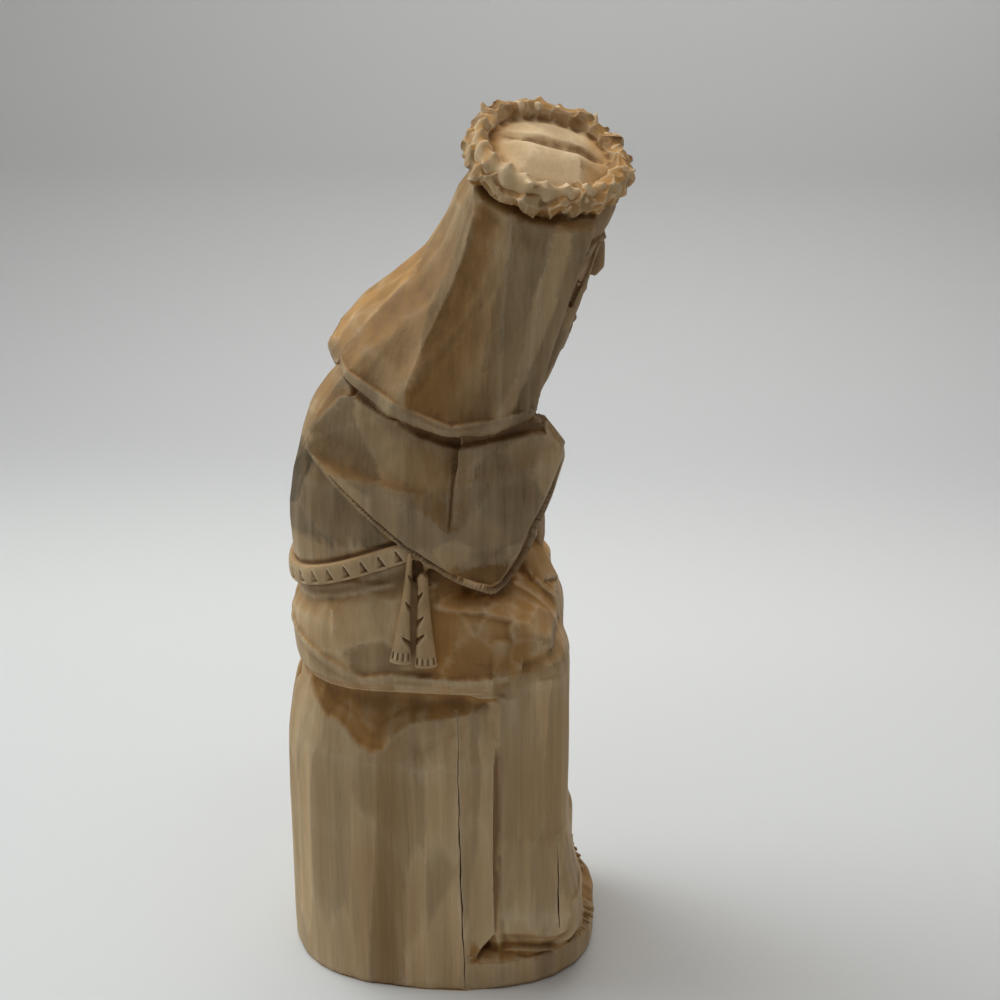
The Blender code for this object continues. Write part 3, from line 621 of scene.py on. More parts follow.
def carve(mesh, settings):
    """Cuts the creases, grooves and gouge facets into the dense surface. Near the underside the
    points move sideways only, and those that face down don't move."""
    points, edges = points_of(mesh), edges_of(mesh)
    shares = to_shares(points)
    normals = unit(relaxed(normals_of(mesh), edges, rounds=6))
    low = shares[:, 2] < RIM - PLINTH
    sideways = np.linalg.norm(normals[:, :2], axis=1)
    rim = np.where(low, smooth_step(sideways, 0.2, 0.6), 1.0)
    normals[low, 2] = 0.0
    normals = unit(normals)
    depth = belt_groove(shares, normals) + parting_groove(shares) + beard_strands(shares)
    depth += sleeve_cuts(shares) + stump_cuts(shares) + hem_cuts(shares, normals) + hair_cuts(shares)
    for weight, cell, axes, deep, seed in gouge_zones(shares, normals, settings):
        weight = relaxed(weight[:, None].astype(float), edges, rounds=5)[:, 0]
        chosen = np.flatnonzero(weight > 0.01)
        height, _ = gouge_cuts(shares[chosen], cell, axes, seed)
        depth[chosen] += weight[chosen] * deep * (1.0 - height) * settings.gouge_strength
    points -= normals * (depth * rim * SHARE)[:, None]
    points[:, 2] = np.maximum(points[:, 2], CAD_LOW.z)
    set_points(mesh, points)


def crack_mesh(name, line, width, depth, outer, wander, seed, taper=0.0):
    """A wedge along a line of (up, forward) on the right side: a three-sided section whose lips
    stand outside the wood and whose keel lies depth below it. Sines of unlike pitch make the line
    wander and the lips open and close. A taper narrows it towards its top."""
    steps = 90
    ups = np.linspace(line[0][0], line[-1][0], steps)
    outer = np.full(steps, outer) if np.isscalar(outer) else np.interp(ups, *outer)
    known = sorted(line)
    forward = np.interp(ups, [up for up, _ in known], [f for _, f in known])
    forward = forward + wander * (np.sin(ups * 0.31 + seed) + 0.6 * np.sin(ups * 0.83 + 2 * seed))
    open_share = np.sin(np.linspace(0.12, math.pi - 0.12, steps)) ** 0.4
    half = width / 2 * open_share * (1 + 0.25 * np.sin(ups * 0.47 + 3 * seed))
    half = half * (1.0 - taper * np.linspace(1.0, 0.0, steps))
    lip = outer + 4.0
    keel = outer - depth * open_share
    stretch = (lip - keel) / np.maximum(outer - keel, 0.1)
    grid = np.stack([
        np.column_stack([forward - half * stretch, lip, ups]),
        np.column_stack([forward + half * stretch, lip, ups]),
        np.column_stack([forward, keel, ups]),
    ], axis=1)
    return outward(tube_mesh(name, grid))


def pit_mesh(name, centre, length, width):
    """A small spindle-shaped pit: a stretched eight-sided bead sunk half way into the wood."""
    turn = turns(8)
    swell = np.sin(np.linspace(0.15, math.pi - 0.15, 7))
    along = np.linspace(-0.5, 0.5, 7) * length
    rows = []
    for half, place in zip(swell * width / 2, along):
        ring = np.column_stack([
            centre[0] + half * np.cos(turn) + 0.2 * place,
            centre[1] + half * 2.2 * np.sin(turn),
            np.full(8, centre[2] + place),
        ])
        rows.append(ring)
    return outward(tube_mesh(name, np.stack(rows)))


def crack_cutters(settings):
    """The drying crack down the stump, the short checks in the robe's leg and plinth, and pits."""
    width = settings.crack_width * METRE
    return [
        crack_mesh("stump_crack", CRACK_LINE, width, 4.0, CRACK_WALL, 0.12, 1.0, 0.7),
        crack_mesh("plinth_check", ((4.0, 28.4), (-14.0, 29.6)), 0.42, 2.4, 38.4, 0.06, 2.0),
        crack_mesh("leg_check", ((50.0, 41.2), (14.0, 42.4)), 0.3, 2.4, 35.0, 0.08, 3.0),
        crack_mesh("plinth_check_2", ((0.0, 42.4), (-14.0, 42.8)), 0.42, 2.0, 35.5, 0.05, 4.0),
        pit_mesh("sleeve_pit", (15.4, 39.4, 177.0), 3.6, 0.9),
        pit_mesh("arm_pit", (-2.6, 39.5, 165.4), 1.0, 0.8),
        pit_mesh("hair_pit", (-2.0, 38.6, 192.0), 1.0, 0.9),
    ]


def cut_away(name, mesh, cutters):
    """The mesh less the cutters, which are cut away together as one collection."""
    collection = bpy.data.collections.new(name + "_cutters")
    bpy.context.scene.collection.children.link(collection)
    helpers = [bpy.data.objects.new(cutter.name, cutter) for cutter in cutters]
    for helper in helpers:
        collection.objects.link(helper)
    result = settled(
        name, mesh, "BOOLEAN", operation="DIFFERENCE", solver="MANIFOLD",
        operand_type="COLLECTION", collection=collection,
    )
    for helper in helpers:
        bpy.data.objects.remove(helper)
    bpy.data.collections.remove(collection)
    return result


def figure_tones_and_painted_light(shares, normals, settings):
    """One random tone for each gouge cut of the figure, with light and shade painted over it. The crown is
    paler and a band along the hair's hem darker by a fixed amount. As painted light, the lap's upward faces
    and the back of the hair are paler; as painted shade, the figure from the belt up (but for the
    crown) is darker, and the robe below the sleeve's edge at the back is darker still, as the sleeve's
    painted shadow."""
    tone = np.full(len(shares), 0.5)
    for weight, cell, axes, _, seed in gouge_zones(shares, normals, settings):
        chosen = np.flatnonzero(weight > 0.5)
        tone[chosen] = gouge_cuts(shares[chosen], cell, axes, seed)[1]
    forward, _, up = shares.T
    crown = smooth_step(in_head(shares)[:, 2], 20.0, 23.0) * (up > 225)
    # Painted shadow of the sleeve: darker just below its edge at the back
    behind = (up < line_at(forward, SLEEVE_EDGE) - 0.5) & (up > 150) & (forward < -8)
    # Painted shade: darker from the belt up, but for the crown
    upper_body_shade = smooth_step(up, 120.0, 150.0) * (1.0 - crown)
    above_hair_hem = up - line_at(forward, HAIR_HEM)
    hair_hem = soft_band(above_hair_hem, -0.5, 0.3, 4.7, 5.3) * (forward < 32)
    # Painted light: the back of the hair paler, as if lit from behind
    lit_back_of_hair = smooth_step(above_hair_hem, 4.0, 6.0) * (hair_place(shares) < 0) * (forward < 20)
    # Painted light: the lap's upward faces paler, as if lit from above
    lap = smooth_step(normals[:, 2], 0.2, 0.6) * (up > 112) * (up < 146) * (forward > 4)
    return tone + 0.9 * crown - 0.3 * hair_hem - 1.0 * behind - 0.7 * upper_body_shade + 1.1 * lit_back_of_hair + 1.5 * lap


def figure_stain_and_shade(shares, normals):
    """How brown the wood is, as a stain and in places as painted shade. The lap is end grain and more
    brown, the scoops under the hem and the plinth's top are more brown end grain with painted shade over
    it, the hair's middle flute is partly more brown wood and partly painted shade, and round the elbow's
    crease and on the face it is painted shade. A band down the stump is more brown. It is below zero on the
    crown, which is paler."""
    forward, right, up = shares.T
    stump = (up < 101) & (forward < SEAT_FRONT + 0.5)
    # End grain, and painted shade under the hem: more brown in the scoops
    stain = stump * smooth_step(up - cove_edge(shares), -0.6, 0.6)
    lap = smooth_step(forward, -9.0, 3.0) * (up > line_at(forward, SKIRT_FACET)) * (up < 146)
    # Less brown where the lap faces up, with the lap's painted top light
    lap = lap * (1.0 - 0.6 * smooth_step(normals[:, 2], 0.2, 0.6))
    stain = np.maximum(stain, 0.95 * lap * smooth_step(36.0 - forward, -6.0, 6.0))
    # The plinth's top: end grain, and painted shade under the legs
    on_plinth = (up < 5) & (up > -1) & (forward > SEAT_FRONT - 8) & (np.hypot(forward, right) > 20)
    stain = np.maximum(stain, 1.3 * on_plinth)
    # Painted shade round the elbow's crease
    crease = np.exp(-(((forward - 3.0) / 10.0) ** 2)) * (up > line_at(forward, SLEEVE_FACET))
    stain = np.maximum(stain, 0.75 * crease * (up < line_at(forward, HAIR_HEM)) * (up > 150))
    place = hair_place(shares)
    # The hair's middle flute: partly more brown wood, partly painted shade
    flute = soft_band(place, 0.98, 1.02, 1.3, 2.2)
    stain = np.maximum(stain, 0.95 * flute * (up > line_at(forward, HAIR_HEM) + 3))
    band = np.exp(-(((forward + 13.0) / 8.0) ** 2)) * stump
    head = in_head(shares)
    # Painted shade on the side of the face
    face = smooth_step(head[:, 0], 8.0, 11.0) * (np.abs(head[:, 1]) < 17) * (up > 200)
    crown = smooth_step(head[:, 2], 19.0, 22.0) * (up > 225)
    return np.maximum(np.maximum(stain, 0.4 * band), 0.7 * face) - crown


def mark_surface(mesh, tone, stain):
    """Stores what the wood's finish reads at each point: how far it lies in a hollow, which sets its
    painted shade, how far it stands out on the ridges, which sets its painted highlight, the tone of
    the cut that it lies in, and how brown the wood is there, which in places is painted shade."""
    points, edges = points_of(mesh), edges_of(mesh)
    normals = normals_of(mesh)
    near = ((relaxed(points, edges, rounds=3) - points) * normals).sum(axis=1) / SHARE
    wide = ((relaxed(points, edges, rounds=18) - points) * normals).sum(axis=1) / SHARE
    # Painted shade: the colour darkens the deeper a point lies in a hollow
    hollow = np.clip(near * 4.0 + wide * 0.9, 0.0, 1.0)
    # Painted highlight: the colour pales where a point stands out on the ridges
    ridge_highlight = np.clip(-near * 7.0 - wide * 0.3, 0.0, 1.0)
    values = np.column_stack([hollow, ridge_highlight, tone, np.ones(len(points))])
    layer = mesh.attributes.new("carving", "FLOAT_COLOR", "POINT")
    layer.data.foreach_set("color", values.astype(np.float32).ravel())
    layer = mesh.attributes.new("browner", "FLOAT", "POINT")
    layer.data.foreach_set("value", stain.astype(np.float32))


def cell_tones(mesh, cell, seed):
    """One random tone for each gouge cut of a small piece."""
    return gouge_cuts(to_shares(points_of(mesh)), cell, seed=seed)[1]


def thinned(name, mesh, triangles):
    """The mesh, with its flattest stretches joined until it has about so many triangles."""
    count = sum(len(polygon.vertices) - 2 for polygon in mesh.polygons)
    if count <= triangles:
        return mesh
    return settled(name, mesh, "DECIMATE", ratio=triangles / count, use_collapse_triangulate=True)


def finish_piece(name, mesh, material, sharp_angle):
    """Puts a finished mesh in the scene on the part's one body."""
    mesh.name = name
    mesh.materials.clear()
    mesh.materials.append(material)
    mesh.shade_smooth()
    mesh.set_sharp_from_angle(angle=math.radians(sharp_angle))
    piece = new_object(name, mesh)
    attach(piece, BODY)
    return piece


def knob_grid(half_sizes, seed):
    """A chunky knob: in each direction it reaches to the nearest of eleven randomly turned
    planes, which are spread over the ball by the golden angle."""
    rows, sides, count = 14, 22, 11
    generator = np.random.default_rng(seed)
    index = np.arange(count) + 0.5
    tall = 1 - index / (count / 2)
    spin = index * math.pi * (3 - math.sqrt(5)) + generator.uniform(0, 6.28)
    planes = np.column_stack([
        np.sqrt(1 - tall**2) * np.cos(spin), np.sqrt(1 - tall**2) * np.sin(spin), tall,
    ])
    planes = unit(planes + generator.normal(0, 0.22, planes.shape))
    reach = generator.uniform(0.72, 0.98, count)
    polar = np.linspace(0.06, math.pi - 0.06, rows)[:, None]
    around = turns(sides)[None, :]
    rays = np.stack([
        np.sin(polar) * np.cos(around), np.sin(polar) * np.sin(around), np.cos(polar) + 0 * around,
    ], axis=-1)
    facing = rays @ planes.T
    distance = np.where(facing > 0.15, reach / np.maximum(facing, 0.15), 3.0).min(axis=-1)
    return rays * np.minimum(distance, 1.3)[..., None] * np.asarray(half_sizes)


def wreath_core():
    """The plain ring that the knobs are cut from: an upright oval carried round the head."""
    steps, sides = 160, 20
    turn = turns(sides)
    line = wreath_line(steps)
    centre = line.mean(axis=0)
    out = unit(line - centre)
    up = head_axes()[2]
    outline = line[:, None, :] + out[:, None, :] * (3.9 * np.cos(turn) - 0.3)[None, :, None]
    drop = wreath_drop(turns(steps))
    lift = 5.0 * np.sin(turn)[None, :] - drop[:, None]
    return outward(tube_mesh("core", outline + up * lift[..., None], ring=True))


def wreath_drop(angle):
    """How far the wreath hangs lower at the back of the near side."""
    return 3.2 * np.clip(np.cos(angle - 2.3), 0.0, 1.0)


def wreath_knobs(count):
    """Knobs in a ring round the head, leaning now up, now down, each with a smaller one between."""
    generator = np.random.default_rng(41)
    meshes = []
    for step in range(2 * count):
        main = step % 2 == 0
        angle = 2 * math.pi * (step + 0.25 * generator.uniform(-1, 1)) / (2 * count)
        side = (-1) ** (step // 2)
        if main:
            half_sizes = generator.uniform((4.0, 4.2, 4.8), (4.9, 5.2, 6.0))
            offset = (0.5 + 0.4 * generator.uniform(-1, 1), 0.9 * side)
        else:
            half_sizes = generator.uniform((3.2, 2.6, 3.6), (4.0, 3.4, 5.2))
            offset = (0.4 + 0.9 * generator.uniform(-0.6, 1.0), 2.0 * generator.uniform(-1, 1))
        grid = knob_grid(half_sizes, 100 + step)
        lean = 0.35 * side + 0.25 * generator.uniform(-1, 1)
        outward_part = grid[..., 0] * math.cos(lean) - grid[..., 2] * math.sin(lean)
        up_part = grid[..., 0] * math.sin(lean) + grid[..., 2] * math.cos(lean)
        outward_part = outward_part + offset[0]
        up_part = up_part + offset[1] + WREATH_UP - wreath_drop(angle)
        length = WREATH_HALF_LENGTH + outward_part
        width = WREATH_HALF_WIDTH + outward_part
        along = grid[..., 1]
        local = np.stack([
            length * math.cos(angle) - along * math.sin(angle) - WREATH_BACK,
            width * math.sin(angle) + along * math.cos(angle),
            up_part,
        ], axis=-1)
        meshes.append(outward(tube_mesh("knob", from_head(local.reshape(-1, 3)).reshape(local.shape))))
    return meshes


def trimmed_wreath(shares):
    """The wreath's points, with what stands far out from its middle line drawn in: beyond six
    shares only a third is kept."""
    local = in_head(shares)
    angle = np.arctan2(local[:, 1] / WREATH_HALF_WIDTH, (local[:, 0] + WREATH_BACK) / WREATH_HALF_LENGTH)
    middle = on_wreath(angle, WREATH_UP - wreath_drop(angle))
    away = local - middle
    gap = np.maximum(np.linalg.norm(away, axis=1), 1e-6)
    kept = np.where(gap > 6.0, 6.0 + (gap - 6.0) / 3.0, gap)
    return from_head(middle + away * (kept / gap)[:, None])


def joined(name, meshes):
    """One mesh that holds all the given ones."""
    shape = bmesh.new()
    for mesh in meshes:
        shape.from_mesh(mesh)
        bpy.data.meshes.remove(mesh)
    result = bpy.data.meshes.new(name)
    shape.to_mesh(result)
    shape.free()
    return result


def belt_mesh(settings):
    """The rope: a flat-topped band carried round the waist. Triangular nicks slant across it as a
    rope's twist does: each has an upright wall and a slope that widens towards its lower end."""
    steps, sides = 1100, 36
    line, travelled, whole = belt_line(steps)
    pitch = whole / round(whole / (settings.rope_pitch * METRE))
    ahead = np.roll(line, -1, axis=0) - np.roll(line, 1, axis=0)
    out = unit(np.column_stack([-ahead[:, 1], ahead[:, 0], np.zeros(steps)]))
    away = ((line[:, :2] - np.array([BELT_MIDDLE, 0.0])) * out[:, :2]).sum(axis=1)
    out *= np.sign(away)[:, None]
    turn = turns(sides)
    across = signed_power(np.sin(turn), 0.8)
    proud = signed_power(np.cos(turn), 0.5)
    ahead_of = np.modf(travelled / pitch)[0][:, None] - (0.45 + 0.34 * across)
    slope = 0.02 + 0.44 * np.clip((0.5 - across) / 1.1, 0.0, 1.0)
    chip = np.where(ahead_of > 0, 1.0 - ahead_of / slope, 1.0 + ahead_of / 0.07)
    chip = np.clip(chip, 0.0, 1.0) * smooth_step(1.0 - np.abs(across + 0.08) / 0.66, 0.0, 0.2)
    reach = 1.4 * proud - 1.5 * chip * (proud > 0)
    grid = line[:, None, :] + out[:, None, :] * reach[..., None]
    grid[..., 2] += settings.rope_width * METRE / 2 * across
    return outward(tube_mesh("rope_belt", grid, ring=True))


def tassel_mesh(name, top, bottom, top_half, bottom_half, nick_side, tilt):
    """One end of the rope on the skirt: a strip whose half width grows along it, from top to
    bottom as (forward, right, up). It follows the skirt, so the ends' own right only counts in its
    length. V-shaped nicks cross one edge, and slits part its end into a fringe."""
    rows, sides = 170, 44
    top, bottom = np.asarray(top), np.asarray(bottom)
    share = np.linspace(0.0, 1.0, rows)
    length = np.linalg.norm(bottom - top)
    middle = top * (1 - share[:, None]) + bottom * share[:, None]
    half = top_half + (bottom_half - top_half) * share**1.9
    half = half * np.sqrt(np.clip(0.1 + share / 0.05, 0.0, 1.0))
    turn = turns(sides)
    across = np.cos(turn)[None, :]
    proud = np.sin(turn)[None, :]
    thick = 1.9 + 0.2 * np.sin(math.pi * share)[:, None]
    down = share[:, None] * length
    cut = np.zeros((rows, sides))
    for place in (0.2, 0.45, 0.7 + 0.06 * nick_side):
        edge = np.clip(0.2 + nick_side * across, 0.0, 1.0)
        line = np.abs(down - place * length - nick_side * 2.6 * across)
        nick = 1.6 * np.clip(1 - line / (0.3 + 1.3 * edge), 0, 1) * smooth_step(edge, 0.0, 0.5)
        cut = np.maximum(cut, nick)
    slit = np.abs(np.modf((across + 1.0) * 2.0)[0] - 0.5) * 2
    fringe = soft_band(share[:, None], 0.88, 0.93, 0.955, 0.985)
    cut = np.maximum(cut, 0.9 * fringe * np.clip(1 - slit / 0.6, 0, 1))
    height = proud * thick - cut * (proud > 0.2)
    grid = np.stack(np.broadcast_arrays(
        middle[:, None, 0] + half[:, None] * across,
        skirt_side(middle[:, None, 2]) + height + tilt * across,
        middle[:, None, 2],
    ), axis=-1)
    return outward(tube_mesh(name, grid))


def add_node(tree, kind, **settings):
    node = tree.nodes.new(kind)
    for name, value in settings.items():
        setattr(node, name, value)
    return node


def feed(tree, node, values):
    """Links or sets a node's inputs. values maps their names or numbers to sockets or values."""
    for key, value in values.items():
        if isinstance(value, bpy.types.NodeSocket):
            tree.links.new(value, node.inputs[key])
        else:
            node.inputs[key].default_value = value


def maths(tree, operation, *values):
    """A Math node on sockets or plain values."""
    node = add_node(tree, "ShaderNodeMath", operation=operation)
    feed(tree, node, dict(enumerate(values)))
    return node.outputs[0]


def mixed(tree, factor, first, second):
    """A colour Mix node on sockets or plain values."""
    node = add_node(tree, "ShaderNodeMix", data_type="RGBA", blend_type="MIX")
    feed(tree, node, {0: factor, 6: first, 7: second})
    return node.outputs[2]


def remapped(tree, value, low, high, to_low=0.0, to_high=1.0):
    """A smooth Map Range node on a socket."""
    node = add_node(tree, "ShaderNodeMapRange", interpolation_type="SMOOTHSTEP")
    feed(tree, node, dict(enumerate((value, low, high, to_low, to_high))))
    return node.outputs[0]


def stretched_noise(tree, coordinates, scale, detail, roughness=0.55):
    """Noise on Object coordinates that are scaled by their own amount along each axis."""
    mapping = add_node(tree, "ShaderNodeMapping")
    feed(tree, mapping, {"Scale": scale, "Vector": coordinates})
    noise = add_node(tree, "ShaderNodeTexNoise")
    feed(tree, noise, {
        "Scale": 1.0, "Detail": detail, "Roughness": roughness, "Vector": mapping.outputs[0],
    })
    return noise.outputs[0]


def wood_group():
    """The limewood's colour, roughness and height. Its grain runs up the figure, so the fibres are
    noise that is stretched along Z, and cuts that face up or down show the darker end grain. The
    carving attribute paints shade into the hollows, paints a highlight on the ridges and shades each
    gouge cut on its own; on the figure that tone also holds painted light and shade. A second
    attribute stains towards the end grain, in places as painted shade, and below zero holds the end
    grain back."""
    tree = bpy.data.node_groups.new("limewood_grain", "ShaderNodeTree")
    for side, kind, names in (
        ("INPUT", "Color", ("Side Grain", "End Grain", "Hollow", "Ridge")),
        ("INPUT", "Float", ("Fibre", "Cut Tone", "Edge Wear")),
        ("OUTPUT", "Color", ("Color",)),
        ("OUTPUT", "Float", ("Roughness", "Height")),
    ):
        for name in names:
            tree.interface.new_socket(name, in_out=side, socket_type="NodeSocket" + kind)
    given = add_node(tree, "NodeGroupInput").outputs
    result = add_node(tree, "NodeGroupOutput")
    place = add_node(tree, "ShaderNodeTexCoord").outputs["Object"]
    facing = add_node(tree, "ShaderNodeSeparateXYZ")
    tree.links.new(add_node(tree, "ShaderNodeNewGeometry").outputs["Normal"], facing.inputs[0])
    marks = add_node(tree, "ShaderNodeSeparateColor")
    carving = add_node(tree, "ShaderNodeAttribute", attribute_name="carving")
    tree.links.new(carving.outputs["Color"], marks.inputs[0])
    hollow, ridge_highlight, tone = marks.outputs[:3]
    browner = add_node(tree, "ShaderNodeAttribute", attribute_name="browner").outputs["Fac"]

    broad = stretched_noise(tree, place, (38.0, 38.0, 9.0), 3.0)
    band = stretched_noise(tree, place, (150.0, 150.0, 5.0), 2.0)
    fibre = stretched_noise(tree, place, (820.0, 820.0, 26.0), 3.0, 0.6)
    thread = stretched_noise(tree, place, (1500.0, 1500.0, 60.0), 2.0, 0.6)
    tooth = stretched_noise(tree, place, (2200.0, 2200.0, 1500.0), 2.0, 0.6)

    end = remapped(tree, maths(tree, "ABSOLUTE", facing.outputs[2]), 0.12, 0.8)
    end = maths(tree, "MULTIPLY_ADD", broad, 0.35, maths(tree, "SUBTRACT", end, 0.17))
    end = maths(tree, "ADD", end, maths(tree, "MINIMUM", browner, 0.0))
    end = maths(tree, "MAXIMUM", maths(tree, "MINIMUM", end, 1.0), 0.0)
    colour = mixed(tree, end, given["Side Grain"], given["End Grain"])
    stain = maths(tree, "MULTIPLY", remapped(tree, broad, 0.42, 0.72), 0.3)
    stain = maths(tree, "MULTIPLY_ADD", browner, 0.9, stain)
    stain = maths(tree, "MINIMUM", stain, 1.0)
    colour = mixed(tree, stain, colour, given["End Grain"])
    light = remapped(tree, band, 0.3, 0.7, 0.9, 1.08)
    streak = remapped(tree, fibre, 0.3, 0.7, -1.0, 1.0)
    streak = maths(tree, "MULTIPLY", streak, given["Fibre"])
    light = maths(tree, "ADD", light, streak)
    dark_thread = remapped(tree, thread, 0.63, 0.74, 0.0, -0.16)
    light = maths(tree, "ADD", light, dark_thread)
    shade = maths(tree, "MULTIPLY", maths(tree, "SUBTRACT", tone, 0.5), given["Cut Tone"])
    light = maths(tree, "ADD", light, shade)
    speck = remapped(tree, tooth, 0.3, 0.7, 0.97, 1.03)
    light = maths(tree, "MULTIPLY", light, speck)
    # Painted shade: the colour darkens in the hollows
    colour = mixed(tree, maths(tree, "MULTIPLY", hollow, 0.75), colour, given["Hollow"])
    # Painted highlight: the colour pales along the ridges
    painted_highlight = maths(tree, "MULTIPLY", ridge_highlight, given["Edge Wear"])
    colour = mixed(tree, painted_highlight, colour, given["Ridge"])
    scaled = add_node(tree, "ShaderNodeVectorMath", operation="SCALE")
    feed(tree, scaled, {0: colour, "Scale": light})

    roughness = remapped(tree, fibre, 0.3, 0.7, 0.52, 0.68)
    height = maths(tree, "MULTIPLY_ADD", fibre, 0.7, maths(tree, "MULTIPLY", tooth, 0.3))
    height = maths(tree, "MULTIPLY_ADD", dark_thread, 1.6, height)
    feed(tree, result, {"Color": scaled.outputs[0], "Roughness": roughness, "Height": height})
    return tree


def wood_material(name, settings, fibre, cut_tone, highlight_strength):
    """Raw limewood, with painted shade in its hollows and a painted highlight on its ridges, as strong as
    the last setting. The group gives what changes over the surface, and the rest is plain.
    """
    group = bpy.data.node_groups.get("limewood_grain") or wood_group()
    material = bpy.data.materials.new(name)
    material.use_nodes = True
    tree = material.node_tree
    grain = add_node(tree, "ShaderNodeGroup", node_tree=group)
    feed(tree, grain, {
        "Side Grain": (*settings.side_grain, 1.0),
        "End Grain": (*settings.end_grain, 1.0),
        "Hollow": (*settings.hollow, 1.0),
        "Ridge": (*settings.ridge_highlight, 1.0),
        "Fibre": fibre,
        "Cut Tone": cut_tone,
        "Edge Wear": highlight_strength,
    })
    bump = add_node(tree, "ShaderNodeBump")
    feed(tree, bump, {"Strength": 0.35, "Distance": 0.00018, "Height": grain.outputs["Height"]})
    feed(tree, tree.nodes["Principled BSDF"], {
        "Base Color": grain.outputs["Color"],
        "Roughness": grain.outputs["Roughness"],
        "Normal": bump.outputs[0],
        "Specular IOR Level": 0.15,
    })
    return material


def length_setting(name, description, default, low, high, precision=2):
    return FloatProperty(
        name=name, description=description, default=default, min=low, max=high,
        subtype="DISTANCE", unit="LENGTH", precision=precision)


def colour_setting(name, description, default):
    return FloatVectorProperty(
        name=name, description=description, default=default, size=3, min=0, max=1, subtype="COLOR")


def power_setting(name, description, default):
    return FloatProperty(name=name, description=description, default=default, min=0, unit="POWER")


class CarvingSizes(bpy.types.PropertyGroup):
    """Sizes of the tool work, the wreath and the rope."""

    voxel: length_setting(
        "Surface Step", "Spacing of the dense surface that is carved", 0.00055, 0.0003, 0.003, 5)
    flute_width: length_setting(
        "Flute Width", "Width of the long gouge cuts on the stump and the legs", 0.0086, 0.003, 0.03)
    gouge_strength: FloatProperty(
        name="Gouge Strength", description="Depth of all gouge cuts, as a factor",
        default=1.0, min=0.0, max=3.0)
    wreath_knobs: IntProperty(
        name="Wreath Knobs", description="Large knobs round the wreath", default=22, min=8, max=40)
    wreath_voxel: length_setting(
        "Wreath Step", "Spacing of the wreath's dense surface", 0.0004, 0.0002, 0.002, 5)
    rope_width: length_setting("Rope Width", "Height of the rope belt's band", 0.0066, 0.002, 0.02)
    rope_pitch: length_setting(
        "Rope Pitch", "Spacing of the nicks that show the rope's twist", 0.0057, 0.002, 0.02)
    crack_width: length_setting(
        "Crack Width", "Width of the stump's drying crack", 0.0008, 0.0001, 0.003, 5)


class WoodFinish(bpy.types.PropertyGroup):
    """Colours of the raw limewood, and of the painted shade in its hollows and the painted highlight on its
    ridges.
    """

    side_grain: colour_setting("Side Grain", "Colour of cuts along the grain", (0.52, 0.362, 0.196))
    end_grain: colour_setting("End Grain", "Colour of cuts across the grain", (0.37, 0.19, 0.056))
    # Colour of the painted shade in the hollows
    hollow: colour_setting("Hollow", "Colour that gathers in the hollows", (0.17, 0.08, 0.03))
    # Colour of the painted highlight along the ridges
    ridge_highlight: colour_setting("Ridge", "Colour of the thin edges between cuts", (0.72, 0.58, 0.39))


class StageLook(bpy.types.PropertyGroup):
    """The plain studio round the figure."""

    floor_colour: colour_setting("Floor", "Colour of the floor", (0.76, 0.75, 0.73))
    # The wall's colour is painted shade: the paper darker where it turns up behind the figure
    wall_shade_colour: colour_setting(
        "Wall", "Colour that the backdrop turns to behind the figure", (0.58, 0.58, 0.575))
    key_power: power_setting("Key Light", "Power of the large light behind the back", 2.8)
    top_power: power_setting("Top Light", "Power of the light overhead", 12.2)
    wall_power: power_setting("Wall Light", "Power of the light on the wall", 1.5)
    fill: FloatProperty(name="Fill", description="Strength of the light all round", default=0.11, min=0)


class CARVING_OT_figure(bpy.types.Operator):
    """Carves the figure, its robe, hair, hands, stump and plinth from the frame's solid"""

    bl_idname = "carving.figure"
    bl_label = "Carve Figure"

    def execute(self, context):
        sizes = context.scene.carving_sizes
        voxel = sizes.voxel * 1.0
        dense = settled("dense", prepared_solid(), "REMESH", mode="VOXEL", voxel_size=voxel)
        soften(dense, rounds=18)
        carve(dense, sizes)
        thin = thinned("thin", dense, FIGURE_TRIANGLES)
        cut = cut_away("cut", thin, crack_cutters(sizes))
        shares, normals = to_shares(points_of(cut)), normals_of(cut)
        mark_surface(cut, figure_tones_and_painted_light(shares, normals, sizes), figure_stain_and_shade(shares, normals))
        material = wood_material(
            "limewood_figure", context.scene.wood_finish, fibre=0.055, cut_tone=0.34, highlight_strength=0.4)
        piece = finish_piece("carved_figure", cut, material, sharp_angle=38)
        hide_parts(NODE)
        return {"FINISHED"}


class CARVING_OT_wreath(bpy.types.Operator):
    """Cuts the wreath of chunky, thorny knobs round the head"""

    bl_idname = "carving.wreath"
    bl_label = "Carve Thorn Wreath"

    def execute(self, context):
        sizes = context.scene.carving_sizes
        voxel = sizes.wreath_voxel * 1.0
        knobs = joined("knobs", [wreath_core(), *wreath_knobs(sizes.wreath_knobs)])
        dense = settled("dense_wreath", knobs, "REMESH", mode="VOXEL", voxel_size=voxel)
        points, edges = points_of(dense), edges_of(dense)
        points = relaxed(points, edges, rounds=3, share=0.5)
        points = to_metres(trimmed_wreath(to_shares(points)))
        set_points(dense, points)
        normals = unit(relaxed(normals_of(dense), edges, rounds=3))
        height, _ = gouge_cuts(to_shares(points), WREATH_CELL, seed=WREATH_SEED, bowl=0.9)
        points = points - normals * (WREATH_CUT * (1.0 - height) * SHARE)[:, None]
        set_points(dense, points)
        thin = thinned("thin_wreath", dense, WREATH_TRIANGLES)
        tones = cell_tones(thin, WREATH_CELL, WREATH_SEED) + 0.5
        mark_surface(thin, tones, np.full(len(thin.vertices), 0.2))
        material = wood_material(
            "limewood_wreath", context.scene.wood_finish, fibre=0.04, cut_tone=0.3, highlight_strength=0.75)
        finish_piece("thorn_wreath", thin, material, sharp_angle=40)
        return {"FINISHED"}


